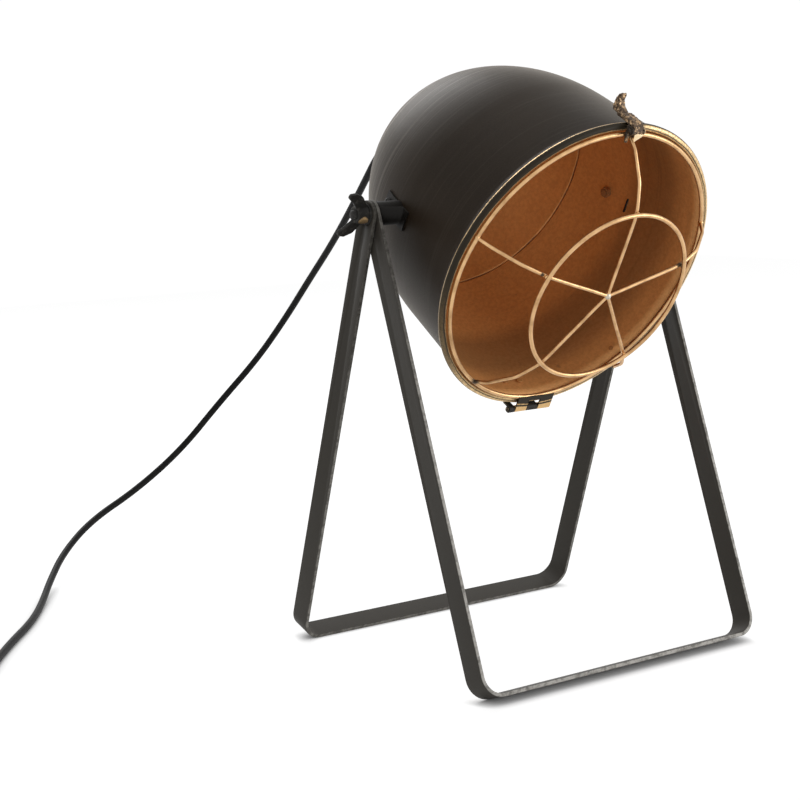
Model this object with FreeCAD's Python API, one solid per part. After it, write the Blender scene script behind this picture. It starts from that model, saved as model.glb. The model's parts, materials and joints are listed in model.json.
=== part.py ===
"""Tabletop searchlight lamp: a spun dome head with a wire guard, hung between two U-shaped flat-bar frames.

Units are millimetres. +Z is up, the opening of the head faces -Y and the table is z = 0.
The origin is on the table, midway between the front and the back of the lamp.
"""
import FreeCAD
import Part
import math
import os

Vec = FreeCAD.Vector
X_AXIS = Vec(1, 0, 0)
Y_AXIS = Vec(0, 1, 0)
Z_AXIS = Vec(0, 0, 1)

# ---------------------------------------------------------------- driving dimensions
# stand
PIVOT_HEIGHT = 310.0
STRAP_WIDTH = 18.0
STRAP_THICKNESS = 2.5
STRAP_EDGE_ROUND = 0.4
STAND_WIDTH = 248.0
FRONT_SPLAY = 18.87
REAR_SPLAY = 19.3
BEND_RADIUS = 15.0
STRAP_GAP = 0.25

# how far a cutting tool runs past what it cuts
THROUGH = 10.0

# pivots
STUD_DIAMETER = 6.0
STUD_CLEARANCE = 0.05
STUD_DEPTH_IN_BOSS = 11.0
STUD_END = 2.2
BOSS_DIAMETER = 16.0
FRICTION_WASHER_DIAMETER = 15.0
FRICTION_WASHER_THICKNESS = 1.0
CLAMP_WASHER_DIAMETER = 14.0
CLAMP_WASHER_THICKNESS = 1.15
FACE_GAP = 0.06
NUT_BASE_DIAMETER = 13.0
NUT_TOP_DIAMETER = 11.0
NUT_HUB_HEIGHT = 8.0
WING_SPAN = 33.0
WING_HEIGHT = 17.0
WING_THICKNESS = 2.6
WING_ANGLE = 123.5
WING_CORNER_ROUND = 1.3
WING_BASE = 1.0
WING_ROOT_DEPTH = 2.0
WING_FOOT_STEP = 0.6
WING_TIP_LENGTH = 3.4
WING_INNER_STEP = 7.2
STUD_CHAMFER = 0.6
WASHER_CLEARANCE = 0.1

# bracket between the shade and the pivot
PLATE_THICKNESS = 1.2
PLATE_WIDTH = 14.0
PLATE_BACK = -17.5
PLATE_FRONT = 12.5
TAB_PLACE = 8.5
TAB_WIDTH = 10.5
TAB_THICKNESS = 1.0
TAB_PROUD = 1.2
SLIT_CLEARANCE = 0.12
BRACKET_SCREW_PLACE = -11.7
BRACKET_SCREW_DIAMETER = 4.0
BRACKET_SCREW_HEAD = 7.0
BRACKET_SCREW_HEAD_HEIGHT = 2.2
BRACKET_NUT_WIDTH = 7.0
BRACKET_NUT_HEIGHT = 3.2
NUT_SEAT_GAP = 0.16
BRACKET_SCREW_END = 1.2
SCREW_SLOT_WIDTH = 1.0

# head and shade
HEAD_TILT = 29.34
AXIS_DROP = 3.35
DOME_CENTRE = 22.0
DOME_LENGTH = 137.5
DOME_RADIUS = 100.3
RIM_PLACE = 77.5
RIM_RADIUS = 104.5
SHADE_WALL = 0.8
BEAD_RADIUS = 2.6
BEAD_CENTRE_RADIUS = 106.4
SEAM_PLACE = -42.4
SEAM_WIDTH = 0.8
SEAM_DEPTH = 0.3

# wire guard
RIM_WIRE = 3.0
RIM_RING_RADIUS = 102.5
RIM_RING_PLACE = 80.5
FRONT_WIRE = 3.0
FRONT_RING_RADIUS = 61.9
FRONT_RING_PLACE = 113.9
SPOKE_WIRE = 2.5
SPOKE_COUNT = 5
HUB_RADIUS = 2.7
HUB_FORWARD = 1.0
WELD_DEPTH = 0.1
SPOKE_KNEE_RADIUS = 96.6
SPOKE_KNEE_PLACE = 90.0
SPOKE_SHOULDER_RADIUS = 80.0
SPOKE_SHOULDER_PLACE = 104.2
SPOKE_BENDS = [12.0, 20.0, 40.0]

# latch
LATCH_WIDTH = 11.0
LATCH_PLATE = 1.2
LATCH_PLATE_TOP = 110.2
LATCH_PLATE_FOOT = 97.6
LATCH_FOOT_WIDTH = 7.4
LATCH_SLOT_WIDTH = 3.0
LATCH_SLOT_TOP = 104.6
LATCH_EAR = 1.3
LATCH_PIN_DIAMETER = 2.0
LATCH_PIN_RADIUS = 107.6
LATCH_PIN_STAND = 3.0
LATCH_SIDE_GAP = 0.2
LATCH_BARREL = 4.4
LATCH_WEB = 0.8
LATCH_PIN_HEAD = 3.0
LATCH_PIN_HEAD_HEIGHT = 0.6
LEVER_LIFT = 0.8
HORN_WIDTH = 5.0
HORN_EDGE_ROUND = 0.5
HORN_ROUND_FROM = 3.5
# outline of the horn: height above the lever's underside, then how far behind the rim
HORN_OUTLINE = [
    (0.5, 9.5),
    (0.7, 15.6),
    (3.4, 16.8),
    (9.2, 16.4),
    (13.4, 13.6),
    (12.9, 12.6),
    (9.0, 12.6),
    (5.6, 10.6),
    (3.3, 6.0),
]
TAB_GAP = 0.4
TAB_PLATE = 1.2
TAB_REACH = 9.4
TAB_TOP = 104.2
TAB_FOOT = 98.4

# bottom hinge of the guard
HINGE_RADIUS = 112.3
HINGE_PLACE = 80.0
HINGE_BARREL = 4.8
HINGE_PIN = 2.2
HINGE_PIN_CLEARANCE = 0.05
HINGE_SIDE_GAP = 0.2
HINGE_LEFT = -19.2
HINGE_SPLIT_A = -14.6
HINGE_SPLIT_B = -4.4
HINGE_SPLIT_C = 5.7
HINGE_RIGHT = 16.9
HINGE_PIN_HEAD = 3.4
HINGE_PIN_HEAD_HEIGHT = 0.8
LEAF_THICKNESS = 1.2
LEAF_SINK = 5.0
LEAF_WELD = 1.0
LEAF_BRIDGE = 2.4
LEAF_BACK = 56.0
LEAF_STEP = 71.3
RIVET_PLACE = 62.5
RIVET_SPACING = 13.0
RIVET_SEAT = 0.45
RIVET_DIAMETER = 3.0
RIVET_HEAD = 5.4
RIVET_HEAD_HEIGHT = 1.2

# knob on the shade behind the rim
KNOB_ANGLE = 138.0
KNOB_PLACE = 70.6
KNOB_DIAMETER = 6.6
KNOB_HEIGHT = 6.0
KNOB_STEM = 3.2
KNOB_STEM_END = 1.2
KNOB_EDGE_ROUND = 1.1
KNOB_COLLAR = 5.2
KNOB_COLLAR_HEIGHT = 1.6
KNOB_COLLAR_GAP = 0.35
KNOB_FOOT_RADIUS = 110.9

# lampholder and cord entry; nipple, cap, joint and front are measured from the crown of the dome
NIPPLE_DIAMETER = 10.0
NIPPLE_BORE = 7.6
NIPPLE_FRONT = 12.0
CROWN_HOLE_CLEARANCE = 0.1
LOCK_NUT_WIDTH = 14.0
LOCK_NUT_HEIGHT = 3.0
HOLDER_RADIUS = 19.5
HOLDER_WALL = 2.0
HOLDER_CAP_BACK = 4.9
HOLDER_NECK_RADIUS = 7.6
HOLDER_JOINT = 26.5
HOLDER_FRONT = 53.5
HOLDER_LIP = 2.5
HOLDER_LEDGE = 1.5
HOLDER_LEDGE_WIDTH = 3.0
HOLDER_NECK_LENGTH = 4.0
HOLDER_SHOULDER = 4.0
HOLDER_SHOULDER_LENGTH = 5.0
SHELL_PROUD = 2.0
SOCKET_BORE = 26.6
SOCKET_WALL = 0.5
SOCKET_LENGTH = 20.0
SOCKET_COLLAR = 5.0
INSERT_THICKNESS = 4.0
INSERT_CLEARANCE = 0.1
CONTACT_LENGTH = 12.0
CONTACT_WIDTH = 5.0
CONTACT_THICKNESS = 0.5
CONTACT_FOOT = 3.0
CONTACT_RISE = 3.5
CONTACT_TIP = 2.6
TERMINAL_SPACING = 12.0
TERMINAL_DIAMETER = 4.0
TERMINAL_HEIGHT = 3.0
CORE_DIAMETER = 2.0
CORE_SPACING = 2.6
CORE_SPREAD = 3.2
CORE_STRAIGHT = 3.0
CORE_END = 4.0
CORE_BEND = 3.0

# cord
CORD_DIAMETER = 5.6
BOOT_BEND = 28.0
BOOT_TURN = 49.1
BOOT_BASE_RADIUS = 6.8
BOOT_END_RADIUS = 3.9
BOOT_RIBS = 6
BOOT_GROOVE = 0.9
CORD_END_GAP = 0.25
COIL_MIDDLE_RADIUS = 32.5
COIL_TURNS = 3
COIL_PITCH = 5.75
COIL_LIFT = 1.1
COIL_HALF_WIDTH = 3.1
TAIL_TURN = 18.0
TIE_WIDTH = 10.0
TIE_THICKNESS = 1.0
TIE_GAP = 0.05
TIE_EDGE_ROUND = 0.8
CORD_LIFT = 0.05
SWITCH_APPROACH = 0.4

# in-line switch
SWITCH_LENGTH = 58.0
SWITCH_WIDTH = 26.0
SWITCH_BASE_HEIGHT = 4.2
SWITCH_HEIGHT = 15.5
SWITCH_WALL = 1.6
SWITCH_END_ROUND = 9.0
SWITCH_FLOOR = 1.3
ROCKER_LENGTH = 17.6
ROCKER_WIDTH = 11.0
ROCKER_TILT = 7.0
ROCKER_CLEARANCE = 0.4
ROCKER_PIN_DIAMETER = 2.4
ROCKER_PIN_CLEARANCE = 0.05
ROCKER_PIN_HEIGHT = 12.4
SWITCH_SCREW_DIAMETER = 2.6
SWITCH_SCREW_HEAD = 4.6
SWITCH_SCREW_SPACING = 42.0
SWITCH_POST_RADIUS = 3.0
SWITCH_SCREW_HEAD_HEIGHT = 1.3
SWITCH_SCREW_SINK = 0.25
SWITCH_SCREW_LENGTH = 9.5
SWITCH_SCREW_HOLE = 11.5
SWITCH_SCREW_RECESS = 1.6
SWITCH_TOP_ROUND = 2.0
SWITCH_COLLAR_WALL = 1.2
SWITCH_COLLAR_DEPTH = 3.0
TERMINAL_BLOCK_LENGTH = 7.0
TERMINAL_BLOCK_WIDTH = 6.0
TERMINAL_BLOCK_HEIGHT = 5.5
TERMINAL_BLOCK_SPACING = 24.0
ROCKER_TOP = 3.6
ROCKER_FOOT = 3.4
ROCKER_EDGE_ROUND = 0.7
ROCKER_PIN_REACH = 0.8

# plug
PLUG_LENGTH = 36.0
PLUG_WIDTH = 35.0
PLUG_THICKNESS = 13.8
PLUG_BACK_WIDTH = 12.0
PLUG_SHOULDER = 17.0
PLUG_ROUND = 2.5
PLUG_FACE_STEP = 4.0
PIN_TIP_ROUND = 1.4
PLUG_TAPER_LENGTH = 13.0
PLUG_TAPER_END = 3.7
PLUG_TAPER_SINK = 0.5
PIN_DIAMETER = 4.0
PIN_LENGTH = 19.0
PIN_SPACING = 18.6
PIN_DEPTH = 9.0
PIN_NECK_DIAMETER = 3.4
PIN_NECK_REACH = 0.4
PIN_FIT = 0.02

# ---------------------------------------------------------------- derived sizes
CORD_RADIUS = CORD_DIAMETER / 2
BORE_RADIUS = STUD_DIAMETER / 2 + STUD_CLEARANCE
FRONT_WIDTH = STAND_WIDTH - 2 * (STRAP_THICKNESS + STRAP_GAP)
FRONT_INNER_X = FRONT_WIDTH / 2 - STRAP_THICKNESS
REAR_OUTER_X = STAND_WIDTH / 2
BOSS_END_X = FRONT_INNER_X - FRICTION_WASHER_THICKNESS - 2 * FACE_GAP
CLAMP_WASHER_X = REAR_OUTER_X + FACE_GAP
NUT_BASE_X = CLAMP_WASHER_X + CLAMP_WASHER_THICKNESS + FACE_GAP
STUD_START_X = BOSS_END_X - STUD_DEPTH_IN_BOSS
STUD_END_X = NUT_BASE_X + NUT_HUB_HEIGHT + STUD_END
CROWN_PLACE = DOME_CENTRE - DOME_LENGTH
NIPPLE_FRONT_PLACE = CROWN_PLACE + NIPPLE_FRONT
HOLDER_BACK_PLACE = CROWN_PLACE + HOLDER_CAP_BACK
HOLDER_JOINT_PLACE = CROWN_PLACE + HOLDER_JOINT
HOLDER_FRONT_PLACE = CROWN_PLACE + HOLDER_FRONT
RIM_RING_FRONT = RIM_RING_PLACE + RIM_WIRE / 2


def leg_length(splay):
    """Length of a leg from the pivot, such that the rounded edge of its foot bar stands on z = 0."""
    angle = math.radians(splay)
    half = STRAP_WIDTH / 2 - STRAP_EDGE_ROUND
    return (PIVOT_HEIGHT - STRAP_EDGE_ROUND - half * math.sin(angle)) / math.cos(angle) + STRAP_EDGE_ROUND


def foot_reach(splay):
    """How far the foot bar reaches out from the plane of the pivots."""
    angle = math.radians(splay)
    along = (leg_length(splay) - STRAP_EDGE_ROUND) * math.sin(angle)
    return along + (STRAP_WIDTH / 2 - STRAP_EDGE_ROUND) * math.cos(angle) + STRAP_EDGE_ROUND


TILT = math.radians(HEAD_TILT)
GUARD_REACH = (
    FRONT_RING_PLACE * math.cos(TILT)
    + (FRONT_RING_RADIUS - AXIS_DROP) * math.sin(TILT)
    + FRONT_WIRE / 2
)
PIVOT_Y = (GUARD_REACH - foot_reach(REAR_SPLAY)) / 2
PIVOT = Vec(0, PIVOT_Y, PIVOT_HEIGHT)
# Head frame: its z runs along the head's axis towards the opening, its y points up across the opening.
HEAD_FRAME = FreeCAD.Placement(PIVOT, FreeCAD.Rotation(X_AXIS, 90 + HEAD_TILT))
AXIS_SHIFT = Vec(0, -AXIS_DROP, 0)

nodes = {}


# ---------------------------------------------------------------- helpers
def add(name, shape):
    """Keep a shape that is already in the lamp's frame."""
    nodes[name] = shape


def add_to_head(name, shape):
    """Keep a shape that was drawn in the head's frame, with the pivot at its origin."""
    placed = shape.copy()
    placed.Placement = HEAD_FRAME.multiply(placed.Placement)
    nodes[name] = placed


def add_on_axis(name, shape):
    """Keep a shape that was drawn round the axis of the shade."""
    moved = shape.copy()
    moved.translate(AXIS_SHIFT)
    add_to_head(name, moved)


def cylinder(radius, length, start, direction):
    return Part.makeCylinder(radius, length, start, direction)


def tube(outer, inner, length, start, direction):
    return cylinder(outer, length, start, direction).cut(cylinder(inner, length, start, direction))


def box(x0, x1, y0, y1, z0, z1):
    return Part.makeBox(x1 - x0, y1 - y0, z1 - z0, Vec(x0, y0, z0))


def prism(points, direction):
    """A closed outline pushed along a direction."""
    wire = Part.makePolygon(points + [points[0]])
    return Part.Face(wire).extrude(direction)


def turned(points):
    """A closed outline of (radius, place) pairs turned round the shade's axis."""
    outline = [Vec(radius, 0, place) for radius, place in points]
    return Part.Face(Part.makePolygon(outline + [outline[0]])).revolve(Vec(), Z_AXIS, 360)


def hexagon(across_flats, height, start, direction):
    """A hexagon nut blank, standing on start and pointing along direction."""
    corner = across_flats / 2 / math.cos(math.pi / 6)
    corners = [
        Vec(corner * math.cos(k * math.pi / 3), corner * math.sin(k * math.pi / 3), 0) for k in range(6)
    ]
    blank = prism(corners, Vec(0, 0, height))
    blank.Placement = FreeCAD.Placement(start, FreeCAD.Rotation(Z_AXIS, direction))
    return blank


def mirrored(shape):
    """The left twin of a right-hand piece."""
    return shape.mirror(Vec(), X_AXIS)


def group(shapes):
    return Part.Compound(shapes)


# ---------------------------------------------------------------- stand
def strap_frame(width, splay, side):
    """A U bent from flat bar: side is -1 for the front frame and +1 for the rear one."""
    length = leg_length(splay)
    half = width / 2
    outer = [Vec(-half, 0, 0), Vec(-half, 0, -length), Vec(half, 0, -length), Vec(half, 0, 0)]
    inner = [
        Vec(-half + STRAP_THICKNESS, 0, 0),
        Vec(-half + STRAP_THICKNESS, 0, -length + STRAP_THICKNESS),
        Vec(half - STRAP_THICKNESS, 0, -length + STRAP_THICKNESS),
        Vec(half - STRAP_THICKNESS, 0, 0),
    ]
    bar = prism(outer + inner[::-1], Vec(0, STRAP_WIDTH, 0))
    bar.translate(Vec(0, -STRAP_WIDTH / 2, 0))

    def corner_edges(level, radius_side):
        return [
            edge
            for edge in bar.Edges
            if abs(abs(edge.CenterOfMass.x) - radius_side) < 0.01
            and abs(edge.CenterOfMass.z + level) < 0.01
            and abs(edge.CenterOfMass.y) < 0.01
        ]

    bar = bar.makeFillet(BEND_RADIUS, corner_edges(length, half))
    inner_bend = BEND_RADIUS - STRAP_THICKNESS
    bar = bar.makeFillet(inner_bend, corner_edges(length - STRAP_THICKNESS, half - STRAP_THICKNESS))
    for sign in (-1, 1):
        start = Vec(sign * half, 0, 0)
        bar = bar.fuse(cylinder(STRAP_WIDTH / 2, STRAP_THICKNESS, start, X_AXIS * -sign))
    bar = bar.removeSplitter()
    long_edges = [edge for edge in bar.Edges if is_rim_edge(edge)]
    bar = bar.makeFillet(STRAP_EDGE_ROUND, long_edges)
    bar = bar.cut(cylinder(BORE_RADIUS, width + 2 * THROUGH, Vec(-half - THROUGH, 0, 0), X_AXIS))
    bar.Placement = FreeCAD.Placement(PIVOT, FreeCAD.Rotation(X_AXIS, side * splay))
    return bar


def is_rim_edge(edge):
    """True for the edges that run along the bar, and round its ends, on both of its broad faces."""
    box_ = edge.BoundBox
    along_bar = box_.YLength < 0.01 and abs(abs(box_.YMin) - STRAP_WIDTH / 2) < 0.01
    round_end = box_.YLength > STRAP_WIDTH - 0.1 and box_.ZMax > 0 and box_.XLength < 0.01
    return along_bar or round_end


# ---------------------------------------------------------------- shade
def shade_curve(inset):
    """Outline of the shade, moved inwards: the crown's quarter ellipse, then a straight skirt to the rim."""
    length = DOME_LENGTH - inset
    radius = DOME_RADIUS - inset
    rim = RIM_RADIUS - inset
    u = (RIM_PLACE - DOME_CENTRE) / length
    v = rim / radius
    touch = math.atan2(v, u) + math.acos(1 / math.hypot(u, v))
    centre = Vec(0, 0, DOME_CENTRE)
    ellipse = Part.Ellipse(centre + Z_AXIS * length, centre + X_AXIS * radius, centre)
    arc = Part.ArcOfEllipse(ellipse, touch, math.pi)
    crown = Vec(0, 0, DOME_CENTRE - length)
    corner = Vec(radius * math.sin(touch), 0, DOME_CENTRE + length * math.cos(touch))
    return arc.toShape(), corner, crown, Vec(rim, 0, RIM_PLACE)


def wall_radius(place, inset=0.0):
    """Radius of the shade at a place along its axis."""
    _, corner, _, rim = shade_curve(inset)
    if place > corner.z:
        return corner.x + (rim.x - corner.x) * (place - corner.z) / (rim.z - corner.z)
    reach = (place - DOME_CENTRE) / (DOME_LENGTH - inset)
    return (DOME_RADIUS - inset) * math.sqrt(1 - reach * reach)


def wall_slope(place):
    """Angle of the wall to the axis, in degrees."""
    step = 0.5
    return math.degrees(math.atan2(wall_radius(place + step) - wall_radius(place - step), 2 * step))


def solid_of_shade(inset):
    """The shade as a full body, down to an inset below its outside."""
    arc, corner, crown, rim = shade_curve(inset)
    edges = [
        arc,
        Part.makeLine(corner, rim),
        Part.makeLine(rim, Vec(0, 0, RIM_PLACE)),
        Part.makeLine(Vec(0, 0, RIM_PLACE), crown),
    ]
    return Part.Face(Part.Wire(Part.__sortEdges__(edges))).revolve(Vec(), Z_AXIS, 360)


def rim_bead():
    """The rolled edge of the shade."""
    bead = Part.makeTorus(BEAD_CENTRE_RADIUS, BEAD_RADIUS)
    bead.translate(Vec(0, 0, RIM_PLACE))
    return bead


def on_wall(shape, place, side):
    """Turns a piece that was drawn along +X to stand square on the wall beside the pivot."""
    moved = shape.copy()
    moved.rotate(Vec(), Y_AXIS, wall_slope(place))
    moved.translate(Vec(wall_radius(place), 0, place))
    return moved if side > 0 else mirrored(moved)


def screw_hole():
    """Cutter for the bracket's screw, along +X."""
    return cylinder(BRACKET_SCREW_DIAMETER / 2 + SLIT_CLEARANCE, 2 * THROUGH, Vec(-THROUGH, 0, 0), X_AXIS)


def whole_shade():
    """The spun wall with its rolled rim, the seam inside, and its holes."""
    wall = solid_of_shade(0).cut(solid_of_shade(SHADE_WALL))
    wall = wall.fuse(rim_bead()).removeSplitter()
    seam = wall_radius(SEAM_PLACE, SHADE_WALL)
    wall = wall.cut(tube(seam + SEAM_DEPTH, seam - THROUGH, SEAM_WIDTH, Vec(0, 0, SEAM_PLACE), Z_AXIS))
    crown_hole = NIPPLE_DIAMETER / 2 + CROWN_HOLE_CLEARANCE
    wall = wall.cut(cylinder(crown_hole, 2 * THROUGH, Vec(0, 0, CROWN_PLACE - THROUGH), Z_AXIS))
    half_slit = (TAB_THICKNESS + 2 * SLIT_CLEARANCE) / 2
    half_width = TAB_WIDTH / 2 + SLIT_CLEARANCE
    wall_x = wall_radius(0)
    for side in (-1, 1):
        hole = on_wall(screw_hole(), BRACKET_SCREW_PLACE, side)
        back = TAB_PLACE - half_slit
        front = TAB_PLACE + half_slit
        slit = box(wall_x - THROUGH, wall_x + THROUGH, -half_width, half_width, back, front)
        slit = slit if side > 0 else mirrored(slit)
        for cutter in (hole, slit):
            cutter.translate(Vec(0, AXIS_DROP, 0))
            wall = wall.cut(cutter)
    for x in rivet_places():
        start = Vec(x, -RIM_RADIUS + THROUGH, RIVET_PLACE)
        wall = wall.cut(cylinder(RIVET_DIAMETER / 2 + PIN_FIT, 2 * THROUGH, start, Y_AXIS * -1))
    way = knob_direction()
    stem = cylinder(KNOB_STEM / 2 + PIN_FIT, 2 * THROUGH, way * (RIM_RADIUS - THROUGH), way)
    stem.translate(Vec(0, 0, KNOB_PLACE))
    return wall.cut(stem)


def shade_pieces():
    """The crown behind the seam, and the barrel with the rim in front of it."""
    wall = whole_shade()
    reach = 2 * RIM_RADIUS
    behind = cylinder(reach, reach, Vec(0, 0, SEAM_PLACE - reach), Z_AXIS)
    return wall.common(behind), wall.cut(behind)


# ---------------------------------------------------------------- pivots
def pivot_bracket():
    """Foot plate that follows the shade, with the tab through its slit and the boss of the stud."""
    band = solid_of_shade(-PLATE_THICKNESS - FACE_GAP).cut(solid_of_shade(-FACE_GAP))
    band.translate(AXIS_SHIFT)
    half = PLATE_WIDTH / 2
    wall = wall_radius(0)
    plate = band.common(box(wall / 2, wall + THROUGH, -half, half, PLATE_BACK, PLATE_FRONT))
    boss = cylinder(BOSS_DIAMETER / 2, BOSS_END_X - wall + THROUGH, Vec(wall - THROUGH, 0, 0), X_AXIS)
    tab_end = wall_radius(TAB_PLACE, SHADE_WALL) - TAB_PROUD
    back = TAB_PLACE - TAB_THICKNESS / 2
    tab = box(tab_end, wall + PLATE_THICKNESS, -TAB_WIDTH / 2, TAB_WIDTH / 2, back, back + TAB_THICKNESS)
    keep_out = solid_of_shade(-FACE_GAP)
    keep_out.translate(AXIS_SHIFT)
    bracket = plate.fuse(boss.cut(keep_out)).fuse(tab).removeSplitter()
    bore_length = STUD_DEPTH_IN_BOSS + THROUGH
    bracket = bracket.cut(cylinder(STUD_DIAMETER / 2 + PIN_FIT, bore_length, Vec(STUD_START_X, 0, 0), X_AXIS))
    return bracket.cut(on_wall(screw_hole(), BRACKET_SCREW_PLACE, 1))


def bracket_screw():
    """Pan head screw from outside, through plate and wall."""
    head_seat = PLATE_THICKNESS + 2 * FACE_GAP
    inside = SHADE_WALL + 2 * FACE_GAP + NUT_SEAT_GAP + BRACKET_NUT_HEIGHT + BRACKET_SCREW_END
    shank = cylinder(BRACKET_SCREW_DIAMETER / 2, head_seat + inside, Vec(-inside, 0, 0), X_AXIS)
    head = cylinder(BRACKET_SCREW_HEAD / 2, BRACKET_SCREW_HEAD_HEIGHT, Vec(head_seat, 0, 0), X_AXIS)
    top = [edge for edge in head.Edges if edge.CenterOfMass.x > head_seat + BRACKET_SCREW_HEAD_HEIGHT - 0.1]
    head = head.makeFillet(BRACKET_SCREW_HEAD_HEIGHT * 0.5, top)
    slot_x = head_seat + BRACKET_SCREW_HEAD_HEIGHT * 0.45
    half_slot = SCREW_SLOT_WIDTH / 2
    slot = box(slot_x, slot_x + THROUGH, -BRACKET_SCREW_HEAD, BRACKET_SCREW_HEAD, -half_slot, half_slot)
    return shank.fuse(head).cut(slot).removeSplitter()


def bracket_nut():
    """Hexagon nut against the inside of the shade."""
    start = Vec(-SHADE_WALL - 2 * FACE_GAP - NUT_SEAT_GAP, 0, 0)
    blank = hexagon(BRACKET_NUT_WIDTH, BRACKET_NUT_HEIGHT, start, X_AXIS * -1)
    bore = cylinder(BRACKET_SCREW_DIAMETER / 2 + PIN_FIT, 2 * THROUGH, Vec(-THROUGH, 0, 0), X_AXIS)
    return blank.cut(bore)


def stud():
    length = STUD_END_X - STUD_START_X - FACE_GAP
    rod = cylinder(STUD_DIAMETER / 2, length, Vec(STUD_START_X + FACE_GAP, 0, 0), X_AXIS)
    tip = [edge for edge in rod.Edges if edge.CenterOfMass.x > STUD_END_X - 0.1]
    return rod.makeChamfer(STUD_CHAMFER, tip)


def flat_washer(diameter, thickness, place):
    return tube(diameter / 2, BORE_RADIUS + WASHER_CLEARANCE, thickness, Vec(place, 0, 0), X_AXIS)


def wing_nut():
    """Round hub with two upswept wings."""
    hub = Part.makeCone(NUT_BASE_DIAMETER / 2, NUT_TOP_DIAMETER / 2, NUT_HUB_HEIGHT, Vec(), X_AXIS)
    root = NUT_TOP_DIAMETER / 2 - WING_ROOT_DEPTH
    tip = WING_SPAN / 2
    outline = [
        Vec(WING_BASE, root, 0),
        Vec(WING_BASE, NUT_BASE_DIAMETER / 2 + WING_FOOT_STEP, 0),
        Vec(WING_HEIGHT * 0.35, tip - 2 * WING_CORNER_ROUND, 0),
        Vec(WING_HEIGHT * 0.68, tip, 0),
        Vec(WING_HEIGHT * 0.96, tip - 0.5, 0),
        Vec(WING_HEIGHT, tip - WING_TIP_LENGTH, 0),
        Vec(WING_HEIGHT * 0.72, tip - WING_INNER_STEP, 0),
        Vec(NUT_HUB_HEIGHT * 0.94, root, 0),
    ]
    wing = prism(outline, Vec(0, 0, WING_THICKNESS))
    wing.translate(Vec(0, 0, -WING_THICKNESS / 2))
    corners = [
        edge
        for edge in wing.Edges
        if edge.BoundBox.ZLength > WING_THICKNESS - 0.1 and edge.CenterOfMass.y > NUT_BASE_DIAMETER / 2
    ]
    wing = wing.makeFillet(WING_CORNER_ROUND, corners)
    other = wing.copy()
    other.rotate(Vec(), X_AXIS, 180)
    nut = hub.fuse(wing).fuse(other).removeSplitter()
    nut = nut.cut(cylinder(BORE_RADIUS, WING_HEIGHT + 2 * THROUGH, Vec(-THROUGH, 0, 0), X_AXIS))
    nut.rotate(Vec(), X_AXIS, WING_ANGLE)
    nut.translate(Vec(NUT_BASE_X, 0, 0))
    return nut


def add_pivots():
    bracket = pivot_bracket()
    add_to_head("pivot_bracket_right", bracket)
    add_to_head("pivot_bracket_left", mirrored(bracket))
    add_to_head("pivot_stud_right", stud())
    add_to_head("pivot_stud_left", mirrored(stud()))
    washer_x = BOSS_END_X + FACE_GAP
    washer = flat_washer(FRICTION_WASHER_DIAMETER, FRICTION_WASHER_THICKNESS, washer_x)
    add_to_head("friction_washers", group([washer, mirrored(washer)]))
    place = BRACKET_SCREW_PLACE
    add_to_head("bracket_screws", group([on_wall(bracket_screw(), place, side) for side in (1, -1)]))
    add_to_head("bracket_nuts", group([on_wall(bracket_nut(), place, side) for side in (1, -1)]))
    clamp = flat_washer(CLAMP_WASHER_DIAMETER, CLAMP_WASHER_THICKNESS, CLAMP_WASHER_X)
    clamps = group([clamp, mirrored(clamp)])
    clamps.translate(PIVOT)
    add("clamp_washers", clamps)
    for name, nut in (("right", wing_nut()), ("left", mirrored(wing_nut()))):
        nut.translate(PIVOT)
        add("wing_nut_" + name, nut)


# ---------------------------------------------------------------- wire guard
def rim_ring():
    ring = Part.makeTorus(RIM_RING_RADIUS, RIM_WIRE / 2)
    ring.translate(Vec(0, 0, RIM_RING_PLACE))
    return ring


def front_ring():
    ring = Part.makeTorus(FRONT_RING_RADIUS, FRONT_WIRE / 2)
    ring.translate(Vec(0, 0, FRONT_RING_PLACE))
    return ring


def spoke_end_place():
    """The spokes lie against the back of the front ring."""
    return FRONT_RING_PLACE - FRONT_WIRE / 2 - SPOKE_WIRE / 2 + WELD_DEPTH


def hub_place():
    """The hub stands a little in front of where the spokes pass the ring."""
    return spoke_end_place() + HUB_FORWARD


def hub():
    return Part.makeSphere(HUB_RADIUS, Vec(0, 0, hub_place()))


def arc_path(points, radii):
    """Straight runs joined by tangent arcs. Returns the wire."""
    edges = []
    start = points[0]
    for index in range(1, len(points) - 1):
        corner = points[index]
        back = (points[index - 1] - corner).normalize()
        ahead = (points[index + 1] - corner).normalize()
        turn = math.pi - back.getAngle(ahead)
        cut = radii[index - 1] * math.tan(turn / 2)
        first = corner + back * cut
        last = corner + ahead * cut
        middle_way = (back + ahead).normalize()
        middle = corner + middle_way * (radii[index - 1] * (1 / math.cos(turn / 2) - 1))
        if (first - start).Length > 0.001:
            edges.append(Part.LineSegment(start, first).toShape())
        edges.append(Part.Arc(first, middle, last).toShape())
        start = last
    edges.append(Part.LineSegment(start, points[-1]).toShape())
    return Part.Wire(edges)


def round_rod(points, radii, radius):
    """A round wire or tube along straight runs and arcs."""
    path = arc_path(points, radii)
    direction = points[1] - points[0]
    ring = Part.Wire(Part.makeCircle(radius, points[0], direction))
    return path.makePipeShell([ring], True, False)


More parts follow.
